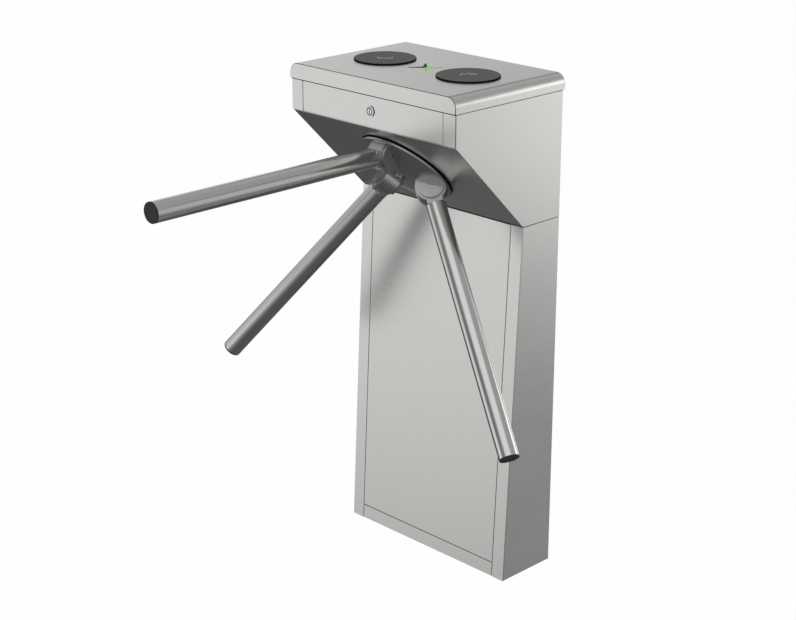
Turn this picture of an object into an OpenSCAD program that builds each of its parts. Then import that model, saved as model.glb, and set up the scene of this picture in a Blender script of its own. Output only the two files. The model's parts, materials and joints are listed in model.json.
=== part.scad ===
// Waist-high tripod turnstile in brushed stainless steel.
// A narrow post carries a head that stands out over the passage. The hub turns on the head's slanted
// underside about a slanted axis, and holds three arms on a cone, so that the top arm lies level.
// Frame: X along the wide front, -Y to the passage, +Z up, origin at the centre of the floor bolts.

/* [Cabinet] */
// Width of the cabinet
cabinet_w = 430; // [400:1:520]
// Depth of the post at the floor
post_foot_d = 138; // [130:1:160]
// Depth of the post under the head
post_neck_d = 103; // [98:1:120]
// How far the head stands out in front of the post
head_overhang = 185; // [180:1:200]
// Height of the top of the lid
total_h = 1000; // [900:5:1100]
// Height of the head, from its joint with the post to the top of the lid
head_h = 275; // [270:1:285]
// Height of the head's front, from the slanted panel to the top of the lid
front_h = 90; // [86:1:92]
// Thickness of the steel sheet
sheet_t = 1.5; // [1:0.1:2]
// Width of the plain strips beside and below the front panels
strip_w = 30; // [24:1:40]
// Width of the seams between panels
panel_gap = 1; // [0.6:0.1:1.6]
// Depth of the folds behind the edges of a panel
fold_d = 14; // [10:1:18]

/* [Lid] */
// Height of the lid's skirt, up to the top of the lid
lid_h = 30; // [28:0.5:32]
// How far the lid stands out past the cabinet
lid_reach = 2.4; // [2.2:0.1:3]
// Radius of the lid's left and right edges
lid_corner_r = 20; // [14:1:24]
// Gap between a reader disc and the arrow light
reader_gap = 26; // [22:1:40]
// Height of a reader disc above the lid
reader_t = 3; // [2:0.5:5]
// Distance of a reader disc's middle from the cabinet's side
reader_in = 106; // [100:1:112]
// How far the arrow light reaches from its middle, along each side
arrow_reach = 23; // [16:1:24]
// Width of the arrow light's strokes at its middle
arrow_stroke = 8; // [6:0.5:9]

/* [Lid hinge and lock] */
// Radius of the hinge barrel
barrel_r = 4; // [3.5:0.1:5]
// Length of one hinge
hinge_l = 60; // [45:1:80]
// Distance of a hinge's middle from the cabinet's side
hinge_in = 85; // [65:1:115]
// Distance of the lock below the lid's skirt
lock_below = 30; // [27:1:33]
// Radius of the lock's flange
lock_flange_r = 10.5; // [10:0.5:13]
// Radius of the lock's barrel
lock_barrel_r = 6; // [5:0.5:7]
// Length of the lock's cam
cam_l = 30; // [26:1:34]

/* [Hub] */
// Radius of the hub
hub_r = 100; // [99:1:104]
// Gap between the hub and the slanted panel
hub_gap = 3; // [2:0.5:4]
// Thickness of the hub's rim
hub_rim_t = 4.5; // [3:0.5:6]
// Rise of the hub's cone above its rim
hub_rise = 14.5; // [12:0.5:15]
// Radius of the flat crown of the hub
crown_r = 42; // [38:1:46]
// Radius of the drum that passes through the slanted panel
drum_r = 91; // [90:0.5:92]
// Depth of the drum behind the slanted panel
drum_depth = 20; // [19:0.5:22]
// Radius of the ends of the hub's ears
ear_r = 25.5; // [24:0.5:26]
// Thickness of an ear
ear_t = 5.7; // [5:0.1:7]
// Distance of the arms' meeting point behind the slanted panel
apex_back = 48.6; // [47:0.1:50]
// Distance of an arm's pin from the arms' meeting point
pivot_reach = 90; // [88:0.5:92]

/* [Arms] */
// Distance of an arm's end from the arms' meeting point
arm_reach = 631; // [560:1:700]
// Radius of an arm's tube
tube_r = 19; // [17:0.5:20]
// Wall of an arm's tube
tube_wall = 1.5; // [1.2:0.1:2.5]
// Radius of an arm's knuckle
knuckle_r = 30; // [28.5:0.5:30.5]
// Thickness of an arm's knuckle
knuckle_t = 32; // [28:1:34]
// Radius of an arm's pin
pin_r = 5; // [4:0.5:6]

/* [Shaft and bearings] */
// Radius of the main shaft
shaft_r = 12.5; // [10:0.5:14]
// Outer radius of a bearing
bearing_r = 26; // [24:0.5:28]
// Width of a bearing
bearing_w = 15; // [12:0.5:16]
// Outer radius of the bearing housing
housing_r = 37; // [34:0.5:38]
// Length of the bearing housing
housing_l = 67; // [60:1:68]
// Distance of the bearing housing behind the slanted panel
housing_h = 29; // [29:0.5:31]

/* [Lock wheel and gears] */
// Size of a gear tooth, as pitch diameter over number of teeth
gear_module = 2.5; // [2.3:0.1:2.5]
// Number of teeth on the main gear
gear_teeth = 36; // [36:1:36]
// Number of teeth on the damper's pinion
pinion_teeth = 12; // [12:1:12]
// Thickness of the gears
gear_t = 10; // [8:0.5:10]
// Radius of the lock wheel
wheel_r = 60; // [58:0.5:61]
// Thickness of the lock wheel and the pawls
wheel_t = 8; // [6:0.5:8]
// Depth of a notch in the lock wheel
notch_d = 11; // [10:0.5:12]
// Distance of a pawl's post to the side of the shaft
pawl_x = 76; // [75:0.5:78]
// Distance of a pawl's post above the shaft
pawl_y = 50; // [48:0.5:52]

/* [Frame] */
// Thickness of the base plate
base_t = 12; // [8:1:20]
// Distance between the anchor holes along the width
anchor_x = 280; // [240:5:300]
// Distance between the anchor holes along the depth
anchor_y = 80; // [60:5:85]
// Radius of an anchor hole
anchor_r = 7; // [5:0.5:9]
// Radius of the cable opening in the grommet
cable_r = 18; // [12:1:22]
// Side of an upright's square tube
upright_w = 40; // [30:1:40]
// Wall of an upright's tube
upright_wall = 3; // [2:0.5:5]
// Thickness of the mechanism plate
plate_t = 6; // [5:0.5:7]
// Width of the mechanism plate
plate_w = 300; // [290:1:320]
// Length of the mechanism plate
plate_l = 190; // [180:1:200]

/* [Hidden] */
$fn = 96;
// Overrun of a cut past the face that it leaves
over = 1;
// Gap between parts that move past each other
slip = 0.4;
// Gap between a shaft and its bore
fit_gap = 0.05;
// Gap between parts that are pushed together by hand
ease = 0.2;

y_back = post_foot_d / 2;
y_foot = -post_foot_d / 2;
y_neck = y_back - post_neck_d;
y_head = y_neck - head_overhang;
half_w = cabinet_w / 2;
inner_w = half_w - sheet_t;
neck_z = total_h - head_h;
lip_z = total_h - front_h;
lid_edge_z = total_h - lid_h;
lock_z = lid_edge_z - lock_below;
reader_x = half_w - reader_in;
reader_r = reader_x - arrow_reach - reader_gap;
hinge_x = half_w - hinge_in;
panel_half = half_w - strip_w - panel_gap / 2;
slant_a = atan2(lip_z - neck_z, head_overhang);
slant_l = norm([lip_z - neck_z, head_overhang]);
mid_y = y_neck - head_overhang / 2;
mid_z = (neck_z + lip_z) / 2;
cone_a = 90 - slant_a;
post_tilt = atan2(y_neck - y_foot, neck_z);
wall_y = sheet_t / cos(post_tilt);
head_top_z = total_h - lid_corner_r - panel_gap;
rebate_d = fold_d + ease;
rebate_w = 10;
corner_d = 12;
side_start = sheet_t + panel_gap;

lid_half_w = half_w + lid_reach;
lid_front = y_head - lid_reach;
lid_back = y_back + lid_reach;
lid_mid_y = (lid_front + lid_back) / 2;
lid_under = total_h - sheet_t;
lens_proud = 0.4;
tip_share = 0.1;
lens_d = 4;
board_t = 1.6;
board_drop = 6;
coil_share = 0.75;
buffer_r = 6;
buffer_in = 22;
flange_w = 30;

leaf_h = 18;
barrel_y = y_back + lid_reach + barrel_r;
barrel_z = lid_edge_z - barrel_r;
hinge_pin_r = 2;

lock_body_r = 9.5;
lock_body_l = 24;
lock_proud = 2;
key_w = 2;
key_l = 8;
key_d = 9;
cam_w = 14;
cam_t = 2.5;
lock_nut_r = 13;
lock_nut_t = 4;
catch_w = 18;
catch_t = 2;
catch_foot = 12;
catch_play = 1.5;

crown_h = hub_gap + hub_rim_t + hub_rise;
rim_top = hub_gap + hub_rim_t;
rim_edge = 2;
ear_in = knuckle_t / 2 + slip;
ear_out = ear_in + ear_t;
ear_root = 34;
drum_gap = 6;
panel_hole_r = drum_r + drum_gap;
seal_w = 2.5;
seal_t = 2.4;
neck_half = knuckle_r / 2;
neck_reach = 4;
tube_start = knuckle_r + neck_reach;
spigot_l = 40;
cap_t = 3;
cap_plug = 12;
cap_wall = 2;
screw_cap_r = 8;
screw_cap_t = 4;
screw_stem_r = 5;
socket_share = 0.7;
spigot_r = 15;
spigot_d = 10;

flange_r = 40;
flange_t = 7;
housing_end = housing_h + housing_l;
housing_flange_r = 60;
housing_flange_t = 5;
housing_lip = 3;
bearing_in = 2;
stack_gap = 4;
disc_gap = 6;
nut_gap = 3;
shaft_past = 2;
plate_h = housing_h + housing_flange_t;
plate_back = plate_h + plate_t;
gear_h = housing_end + stack_gap;
wheel_h = gear_h + gear_t + stack_gap;
disc_h = wheel_h + wheel_t + disc_gap;
disc_t = 2;
disc_r = 40;
nut_h = disc_h + disc_t + nut_gap;
nut_t = 8;
nut_r = 19;
shaft_end = nut_h + nut_t + shaft_past;
gear_boss_r = 20;
wheel_boss_r = 18;
disc_boss_r = 17;
disc_slot_l = 8;
screw_r = 4;
screw_head_r = 6.5;
screw_head_t = 4;
screw_count = 4;
screw_ring_r = 50;
screw_turn = 45;
sensor_reach = 34;
sensor_gap = 5;
sensor_t = 7;
sensor_w = 14;
jaw_t = 3;
jaw_gap = 2;
gear_r = gear_module * gear_teeth / 2;
pinion_r = gear_module * pinion_teeth / 2;
damper_y = -(gear_r + pinion_r);
damper_r = 21;
damper_shaft_r = 4;
tooth_share = 0.78;
root_share = 1.2;
web_share = 1.15;
tooth_angle = 22;
notch_count = 6;
notch_w = 14;
arm_count = 3;
arm_step = 360 / arm_count;

nose_w = 9;
nose_gap = 2;
nose_drop = 2;
pawl_w = 12;
pawl_boss_r = 9;
pawl_tail = 22;
post_r = 5;
shoulder_r = 8;
clip_t = 2.5;
link_r = 2.5;
link_play = 1;
tab_t = 3.5;
tab_gap = 0.8;
plunger_r = 5;
solenoid_x = 90;
solenoid_l = 44;
solenoid_w = 30;
stand_w = 20;
stand_long = 30;
stand_wall = 2.5;
plunger_in = 34;

bracket_t = 4;
bracket_l = 120;
bracket_d = 50;

grommet_lip = 4;
grommet_wall = 5;
grommet_t = 3;
pcb_w = 200;
pcb_h = 140;
pcb_z = 440;
pcb_off = 12;
standoff_r = 3.5;
relay_x = 66;
relay_z = 46;
relay_w = 34;
relay_d = 11;
chip_x = 34;
chip_z = 70;
chip_w = 50;
chip_d = 8;
psu_w = 180;
psu_h = 110;
psu_d = 45;
psu_z = 150;
loom_r = 4;
loom_bend_r = 5.5;
loom_x = 116;
loom_top = lip_z;

// Names of the sub-parts

// Colours as the photograph shows them
steel = [0.76, 0.76, 0.74];
dark_steel = [0.42, 0.42, 0.40];
black = [0.08, 0.08, 0.09];
zinc = [0.62, 0.64, 0.66];
green = [0.25, 0.85, 0.30];
board_green = [0.10, 0.35, 0.20];

// Helpers

// Draws an outline in Y and Z, and carries it along X from x0
module along_x(x0, length) {
    translate([x0, 0, 0]) rotate([90, 0, 90]) linear_extrude(length) children();
}

// Draws an outline in X and Z, and carries it along Y from y0
module along_y(y0, length) {
    translate([0, y0 + length, 0]) rotate([90, 0, 0]) linear_extrude(length) children();
}

// A box from its lowest corner and its size
module block(corner, size) {
    translate(corner) cube(size);
}

// Places children on the slanted panel: X as before, Y up and forwards along the panel, Z out of it
module on_face(h = 0) {
    translate([0, mid_y, mid_z]) rotate([180 - slant_a, 0, 0]) translate([0, 0, h]) children();
}

// Places children on an arm: Z runs along it from the arms' meeting point, X along its pin
module on_arm(i, s = 0) {
    on_face() rotate([0, 0, -arm_step * i]) translate([0, 0, -apex_back])
        rotate([-cone_a, 0, 0]) translate([0, 0, s]) children();
}

// A cylinder along X
module rod_x(x0, length, r) {
    translate([x0, 0, 0]) rotate([0, 90, 0]) cylinder(r = r, h = length);
}

// A cylinder along Y
module rod_y(y0, length, r) {
    translate([0, y0 + length, 0]) rotate([90, 0, 0]) cylinder(r = r, h = length);
}

// Y of the post's front at a height
function front_y(z) = y_foot + (y_neck - y_foot) * z / neck_z;

// Outline of a sheet that lies in the post's slanted front, depth d behind its face
module front_outline(z0, z1, d) {
    polygon([
        [front_y(z0), z0], [front_y(z0) + d, z0],
        [front_y(z1) + d, z1], [front_y(z1), z1]
    ]);
}

// Post

module post_side() {
    along_x(inner_w, sheet_t) polygon([
        [y_foot + side_start, 0], [y_back, 0], [y_back, neck_z], [y_neck + side_start, neck_z]
    ]);
    along_x(panel_half + panel_gap, strip_w - panel_gap / 2) front_outline(0, neck_z, wall_y);
    along_x(inner_w - sheet_t, sheet_t) front_outline(0, neck_z, corner_d);
    along_x(panel_half + panel_gap, sheet_t) front_outline(0, neck_z, rebate_d + sheet_t);
    translate([0, rebate_d, 0]) along_x(panel_half - rebate_w, rebate_w + panel_gap + sheet_t)
        front_outline(0, neck_z, sheet_t);
}

module post_left_side() {
    color(steel) mirror([1, 0, 0]) post_side();
}

module post_right_side() {
    color(steel) post_side();
}

module post_front_panel() {
    z0 = strip_w + panel_gap / 2;
    z1 = neck_z - panel_gap;
    color(steel) {
        along_x(-panel_half, panel_half * 2) front_outline(z0, z1, wall_y);
        for (side = [-1, 1]) {
            along_x(side * (panel_half - sheet_t / 2) - sheet_t / 2, sheet_t)
                front_outline(z0, z1, fold_d);
        }
        along_x(-panel_half, panel_half * 2) front_outline(z0, z0 + sheet_t, fold_d);
        along_x(-panel_half, panel_half * 2) front_outline(z1 - sheet_t, z1, fold_d);
    }
}

module kick_strip() {
    z1 = strip_w - panel_gap / 2;
    color(steel) {
        along_x(-panel_half, panel_half * 2) front_outline(0, z1, wall_y);
        along_x(-panel_half, panel_half * 2) front_outline(z1 - sheet_t, z1, fold_d);
    }
}

module back_panel() {
    color(steel) {
        block([-inner_w + ease, y_back - sheet_t, 0],
            [(inner_w - ease) * 2, sheet_t, head_top_z]);
    }
}

module base_plate() {
    front = y_foot + rebate_d + wall_y + sheet_t;
    back = y_back - sheet_t - ease;
    color(dark_steel) difference() {
        block([-inner_w + ease, front, 0], [(inner_w - ease) * 2, back - front, base_t]);
        for (x = [-1, 1], y = [-1, 1]) {
            translate([x * anchor_x / 2, y * anchor_y / 2, -over])
                cylinder(r = anchor_r, h = base_t + over * 2);
        }
        translate([0, 0, -over])
            cylinder(r = cable_r + grommet_wall + ease, h = base_t + over * 2);
    }
}

module cable_grommet() {
    color(black) difference() {
        union() {
            cylinder(r = cable_r + grommet_wall, h = base_t);
            translate([0, 0, base_t])
                cylinder(r = cable_r + grommet_wall + grommet_lip, h = grommet_t);
        }
        translate([0, 0, -over]) cylinder(r = cable_r, h = base_t + grommet_t + over * 2);
    }
}

module uprights() {
    y0 = y_back - sheet_t - ease - upright_w;
    color(dark_steel) for (side = [-1, 1]) {
        x0 = side * (inner_w - ease - upright_w / 2) - upright_w / 2;
        difference() {
            block([x0, y0, base_t], [upright_w, upright_w, neck_z - base_t]);
            block([x0 + upright_wall, y0 + upright_wall, base_t - over],
                [upright_w - upright_wall * 2, upright_w - upright_wall * 2,
                    neck_z - base_t + over * 2]);
        }
    }
}

// Head

module head_side() {
    along_x(inner_w, sheet_t) polygon([
        [y_head + side_start, lip_z - side_start * tan(slant_a)],
        [y_head + side_start, head_top_z], [y_back, head_top_z],
        [y_back, neck_z + panel_gap / 2], [y_neck, neck_z + panel_gap / 2]
    ]);
    block([panel_half + panel_gap, y_head, lip_z],
        [strip_w - panel_gap / 2, sheet_t, head_top_z - lip_z]);
    block([inner_w - sheet_t, y_head, lip_z + corner_d],
        [sheet_t, corner_d, head_top_z - lip_z - corner_d]);
    block([panel_half + panel_gap, y_head, lip_z + fold_d * 2],
        [sheet_t, rebate_d + sheet_t, head_top_z - lip_z - fold_d * 2]);
    block([panel_half - rebate_w, y_head + rebate_d, lip_z + fold_d * 2],
        [rebate_w + panel_gap + sheet_t, sheet_t, head_top_z - lip_z - fold_d * 2]);
    block([inner_w - flange_w, y_head + rebate_d, head_top_z - sheet_t],
        [flange_w, y_back - sheet_t - ease - y_head - rebate_d, sheet_t]);
}

module head_left_side() {
    color(steel) mirror([1, 0, 0]) head_side();
}

module head_right_side() {
    color(steel) head_side();
}

module head_front_panel() {
    color(steel) difference() {
        union() {
            block([-panel_half, y_head, lip_z],
                [panel_half * 2, sheet_t, head_top_z - lip_z]);
            for (side = [-1, 1]) {
                block([side * (panel_half - sheet_t / 2) - sheet_t / 2, y_head, lip_z + fold_d],
                    [sheet_t, fold_d, head_top_z - lip_z - fold_d]);
            }
        }
        translate([0, 0, lock_z]) rod_y(y_head - over, sheet_t + over * 2, lock_body_r + ease);
    }
}

module slant_panel() {
    low = -slant_l / 2 + sheet_t + ease;
    high = slant_l / 2 - sheet_t - ease;
    color(dark_steel) on_face() difference() {
        block([-inner_w + ease, low, -sheet_t],
            [(inner_w - ease) * 2, high - low, sheet_t]);
        translate([0, 0, -sheet_t - over]) cylinder(r = panel_hole_r, h = sheet_t + over * 2);
    }
}

module hub_seal() {
    color(black) on_face() difference() {
        cylinder(r = panel_hole_r + seal_w, h = seal_t);
        translate([0, 0, -over]) cylinder(r = panel_hole_r, h = seal_t + over * 2);
    }
}

module lid_buffers() {
    color(black) for (side = [-1, 1], y = [y_head + strip_w, y_back - strip_w]) {
        translate([side * (inner_w - buffer_in), y, head_top_z])
            cylinder(r = buffer_r, h = lid_under - head_top_z - slip);
    }
}

// Lid

module lid_outline(inset) {
    r = lid_corner_r - inset;
    w = lid_half_w - inset;
    top = total_h - inset;
    foot = lid_edge_z - inset * over;
    translate([-w, foot]) square([w * 2, top - r - foot]);
    translate([-w + r, top - r - over]) square([(w - r) * 2, r + over]);
    intersection() {
        translate([-w, foot]) square([w * 2, top - foot]);
        for (side = [-1, 1]) {
            translate([side * (w - r), top - r]) circle(r = r);
        }
    }
}

module arrow_outline(grow) {
    split = panel_gap - grow;
    wide = arrow_stroke / 2 + split + grow;
    inside = arrow_stroke + grow;
    tip = arrow_stroke * tip_share + grow;
    polygon([
        [inside, 0], [arrow_reach + tip, arrow_reach - tip], [arrow_reach - tip, arrow_reach + tip],
        [split, wide], [split, -wide],
        [arrow_reach - tip, -arrow_reach - tip], [arrow_reach + tip, -arrow_reach + tip]
    ]);
}

module arrow_lens(side) {
    translate([0, lid_mid_y, total_h + lens_proud - lens_d])
        mirror([side < 0 ? 1 : 0, 0, 0]) linear_extrude(lens_d) arrow_outline(0);
}

module lid() {
    color(steel) difference() {
        along_y(lid_front, lid_back - lid_front) lid_outline(0);
        along_y(lid_front + sheet_t, lid_back - lid_front - sheet_t * 2) lid_outline(sheet_t);
        for (side = [0, 1]) {
            translate([0, lid_mid_y, lid_under - over]) mirror([side, 0, 0])
                linear_extrude(sheet_t + over * 2) arrow_outline(ease);
        }
    }
}

module reader(side) {
    edge = reader_t / 3;
    color(black) translate([side * reader_x, lid_mid_y, total_h])
        rotate_extrude() polygon([
            [0, 0], [reader_r, 0], [reader_r, reader_t - edge],
            [reader_r - edge, reader_t], [0, reader_t]
        ]);
}

module left_reader() {
    reader(-1);
}

module right_reader() {
    reader(1);
}

module left_arrow_lens() {
    color(dark_steel) arrow_lens(-1);
}

module right_arrow_lens() {
    color(green) arrow_lens(1);
}

module lid_boards() {
    side_l = arrow_reach * 3;
    color(board_green) {
        block([-side_l / 2, lid_mid_y - side_l / 2, lid_under - board_drop - board_t],
            [side_l, side_l, board_t]);
        for (x = [-1, 1], y = [-1, 1]) {
            translate([x * (side_l / 2 - standoff_r), y * (side_l / 2 - standoff_r) + lid_mid_y,
                lid_under - board_drop]) cylinder(r = standoff_r, h = board_drop);
        }
        for (side = [-1, 1]) {
            translate([side * reader_x, lid_mid_y, lid_under - board_drop])
                cylinder(r = reader_r * coil_share, h = board_drop);
        }
    }
}

// Lid hinge

module hinge_barrel(x0, length) {
    translate([0, barrel_y, barrel_z]) rod_x(x0, length, barrel_r);
}

module hinge_bore(x0, length, gap) {
    translate([0, barrel_y, barrel_z]) rod_x(x0 - over, length + over * 2, hinge_pin_r + gap);
}

module hinge_leaves() {
    third = hinge_l / 3;
    color(zinc) for (side = [-1, 1]) {
        x0 = side * hinge_x - hinge_l / 2;
        difference() {
            union() {
                block([x0, y_back, barrel_z - barrel_r - leaf_h], [hinge_l, sheet_t, leaf_h]);
                for (x = [x0, x0 + third * 2]) {
                    hinge_barrel(x, third - slip);
                    block([x, y_back, barrel_z - barrel_r - sheet_t],
                        [third - slip, barrel_y - y_back, sheet_t * 2]);
                }
            }
            hinge_bore(x0, hinge_l, 0);
        }
        translate([0, barrel_y, barrel_z]) rod_x(x0, hinge_l - slip, hinge_pin_r);
    }
}

module lid_hinge_leaves() {
    third = hinge_l / 3;
    color(zinc) for (side = [-1, 1]) {
        x0 = side * hinge_x - hinge_l / 2;
        difference() {
            union() {
                block([x0, lid_back, lid_edge_z + sheet_t], [hinge_l, sheet_t, leaf_h]);
                hinge_barrel(x0 + third, third - slip);
                block([x0 + third, lid_back, barrel_z],
                    [third - slip, sheet_t, barrel_r + sheet_t * 2]);
            }
            hinge_bore(x0, hinge_l, fit_gap);
        }
    }
}

// Lock and catch

module lock_body() {
    color(zinc) translate([0, 0, lock_z]) difference() {
        union() {
            rod_y(y_head - lock_proud, lock_proud, lock_flange_r);
            rod_y(y_head, lock_body_l, lock_body_r);
        }
        rod_y(y_head - lock_proud - over, lock_body_l + lock_proud + over * 2,
            lock_barrel_r + fit_gap);
    }
    color(dark_steel) translate([0, 0, lock_z]) difference() {
        rod_y(y_head + sheet_t, lock_nut_t, lock_nut_r);
        rod_y(y_head, lock_nut_t * 2, lock_body_r + fit_gap);
    }
}

module lock_barrel() {
    front = y_head - lock_proud;
    color(steel) translate([0, 0, lock_z]) difference() {
        rod_y(front, lock_proud + lock_body_l + slip, lock_barrel_r);
        block([-key_w / 2, front - over, -key_l / 2], [key_w, key_d + over, key_l]);
    }
}

module lock_cam() {
    color(zinc) translate([0, 0, lock_z]) {
        rod_y(y_head + lock_body_l + slip, cam_t, cam_w / 2);
        block([-cam_w / 2, y_head + lock_body_l + slip, 0], [cam_w, cam_t, cam_l]);
    }
}

module lid_catch() {
    x0 = cam_w / 2 + catch_w / 2;
    y0 = y_head + lock_body_l + slip + cam_t + catch_play;
    foot_z = lock_z - cam_w / 2 - catch_play - catch_t;
    color(zinc) {
        block([x0, y0, foot_z], [catch_w, catch_t, lid_under - foot_z]);
        block([x0, y0 - catch_foot, foot_z], [catch_w, catch_foot, catch_t]);
        block([x0, y0, lid_under - catch_t], [catch_w, catch_foot, catch_t]);
    }
}

// Hub and arms

module pin_point(i) {
    on_arm(i, pivot_reach) children();
}

module ear_outline() {
    circle(r = ear_r);
    translate([-ear_r, -ear_root]) square([ear_r * 2, ear_root]);
}

module ears(i) {
    pin_point(i) for (side = [-1, 1]) {
        x0 = side > 0 ? ear_in : -ear_out;
        along_x(x0, ear_t) ear_outline();
    }
}

module hub_blank() {
    on_face() rotate_extrude() polygon([
        [0, -drum_depth], [drum_r, -drum_depth], [drum_r, hub_gap], [hub_r, hub_gap],
        [hub_r, rim_top - rim_edge / 2], [hub_r - rim_edge, rim_top],
        [crown_r, crown_h], [0, crown_h]
    ]);
}

module hub() {
    color(dark_steel) difference() {
        union() {
            hub_blank();
            intersection() {
                for (i = [0:arm_count - 1]) ears(i);
                on_face() cylinder(r = hub_r - rim_edge, h = pivot_reach);
            }
        }
        for (i = [0:arm_count - 1]) {
            pin_point(i) {
                rod_x(-ear_in, ear_in * 2, knuckle_r + slip);
                rod_x(-ear_out - over, (ear_out + over) * 2, pin_r + fit_gap);
            }
        }
        on_face(-drum_depth - over) cylinder(r = spigot_r + fit_gap, h = spigot_d + over);
        on_face(-drum_depth) cylinder(r = screw_stem_r + fit_gap, h = drum_depth + crown_h + over);
    }
}

module hub_screw() {
    top = crown_h + screw_cap_t;
    socket_d = screw_cap_t + screw_stem_r;
    color(zinc) on_face() difference() {
        union() {
            translate([0, 0, crown_h]) cylinder(r = screw_cap_r, h = screw_cap_t);
            translate([0, 0, spigot_d - drum_depth])
                cylinder(r = screw_stem_r, h = crown_h + drum_depth - spigot_d + over);
        }
        translate([0, 0, top - socket_d])
            cylinder(r = screw_stem_r * socket_share, h = socket_d + over, $fn = 6);
    }
}

module arm_pins() {
    color(dark_steel) for (i = [0:arm_count - 1]) {
        pin_point(i) rod_x(-ear_out + ease, (ear_out - ease) * 2, pin_r);
    }
}

module knuckle(i) {
    color(dark_steel) pin_point(i) difference() {
        union() {
            rod_x(-knuckle_t / 2, knuckle_t, knuckle_r);
            block([-knuckle_t / 2, -neck_half, 0], [knuckle_t, neck_half * 2, tube_start]);
            translate([0, 0, tube_start - over])
                cylinder(r = tube_r - tube_wall - fit_gap, h = spigot_l + over);
        }
        rod_x(-knuckle_t / 2 - over, knuckle_t + over * 2, pin_r + fit_gap);
    }
}

module arm_tube(i) {
    length = arm_reach - pivot_reach - tube_start - cap_t;
    color(steel) pin_point(i) translate([0, 0, tube_start]) difference() {
        cylinder(r = tube_r, h = length);
        translate([0, 0, -over]) cylinder(r = tube_r - tube_wall, h = length + over * 2);
    }
}

module arm_cap(i) {
    color(black) on_arm(i, arm_reach - cap_t) {
        difference() {
            union() {
                cylinder(r = tube_r, h = cap_t);
                translate([0, 0, -cap_plug])
                    cylinder(r = tube_r - tube_wall - fit_gap, h = cap_plug);
            }
            translate([0, 0, -cap_plug - over])
                cylinder(r = tube_r - tube_wall - cap_wall, h = cap_plug);
        }
    }
}

module top_knuckle() {
    knuckle(0);
}

module right_knuckle() {
    knuckle(1);
}

module left_knuckle() {
    knuckle(2);
}

module top_arm() {
    arm_tube(0);
}

module right_arm() {
    arm_tube(1);
}

module left_arm() {
    arm_tube(2);
}

module top_arm_cap() {
    arm_cap(0);
}

module right_arm_cap() {
    arm_cap(1);
}

module left_arm_cap() {
    arm_cap(2);
}

// Shaft, bearings and housing: heights here are distances behind the slanted panel

module behind(h) {
    on_face(-h) children();
}

module main_shaft() {
    color(zinc) behind(shaft_end) {
        cylinder(r = shaft_r, h = shaft_end - drum_depth);
        translate([0, 0, shaft_end - drum_depth - flange_t])
            cylinder(r = flange_r, h = flange_t);
        translate([0, 0, shaft_end - drum_depth])
            cylinder(r = spigot_r, h = spigot_d - ease);
    }
}

module bearing(h) {
    behind(h + bearing_w) difference() {
        cylinder(r = bearing_r, h = bearing_w);
        translate([0, 0, -over]) cylinder(r = shaft_r + fit_gap, h = bearing_w + over * 2);
    }
}

module bearings() {
    color(zinc) {
        bearing(housing_h + bearing_in);
        bearing(housing_end - bearing_in - bearing_w);
    }
}

module bearing_housing() {
    seat = bearing_r + fit_gap;
    color(dark_steel) behind(housing_end) difference() {
        union() {
            cylinder(r = housing_r, h = housing_l);
            translate([0, 0, housing_end - plate_h])
                cylinder(r = housing_flange_r, h = plate_h - housing_h);
        }
        translate([0, 0, -over])
            cylinder(r = bearing_r - housing_lip, h = housing_l + over * 2);
        translate([0, 0, -over]) cylinder(r = seat, h = bearing_in + bearing_w + over);
        translate([0, 0, housing_l - bearing_w - bearing_in])
            cylinder(r = seat, h = bearing_w + bearing_in + over);
        screw_places() translate([0, 0, -over])
            cylinder(r = screw_r + ease, h = housing_end);
    }
}

module screw_places() {
    for (i = [0:screw_count - 1]) {
        rotate([0, 0, screw_turn + i * 360 / screw_count])
            translate([screw_ring_r, 0, 0]) children();
    }
}

module housing_screws() {
    reach = plate_back + screw_head_t - housing_h;
    color(zinc) behind(plate_back + screw_head_t) screw_places() {
        cylinder(r = screw_r, h = reach);
        translate([0, 0, reach]) cylinder(r = screw_head_r, h = screw_head_t, $fn = 6);
    }
}

module mechanism_plate() {
    color(zinc) behind(plate_back) difference() {
        block([-plate_w / 2, -plate_l / 2, 0], [plate_w, plate_l, plate_t]);
        translate([0, 0, -over]) cylinder(r = housing_r + ease, h = plate_t + over * 2);
        screw_places() translate([0, 0, -over]) cylinder(r = screw_r + ease, h = plate_t + over * 2);
    }
}

module mechanism_brackets() {
    stand_l = gear_h - plate_back;
    color(zinc) {
        for (side = [-1, 1]) {
            behind(plate_back + bracket_t) mirror([side < 0 ? 1 : 0, 0, 0]) {
                block([plate_w / 2 - strip_w, -bracket_l / 2, 0],
                    [inner_w - ease - plate_w / 2 + strip_w, bracket_l, bracket_t]);
                block([inner_w - ease - bracket_t, -bracket_l / 2, -bracket_d],
                    [bracket_t, bracket_l, bracket_d]);
            }
            behind(gear_h) mirror([side < 0 ? 1 : 0, 0, 0]) {
                translate([solenoid_x + (solenoid_l - stand_long) / 2,
                    pawl_y + pawl_tail - stand_w / 2, 0]) difference() {
                    cube([stand_long, stand_w, stand_l]);
                    block([stand_wall, stand_wall, -over],
                        [stand_long - stand_wall * 2, stand_w - stand_wall * 2,
                            stand_l + over * 2]);
                }
            }
        }
    }
}

// Gears and lock wheel

// One tooth as a trapezium on a pitch circle of radius r
module tooth(r) {
    up = gear_module;
    down = gear_module * root_share;
    half = gear_module * PI / 4 * tooth_share;
    lean = tan(tooth_angle);
    polygon([
        [r - down, -half - down * lean], [r + up, -half + up * lean],
        [r + up, half - up * lean], [r - down, half + down * lean]
    ]);
}

module gear_outline(teeth, turn) {
    r = gear_module * teeth / 2;
    circle(r = r - gear_module * web_share);
    for (i = [0:teeth - 1]) {
        rotate(turn + i * 360 / teeth) tooth(r);
    }
}

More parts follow.
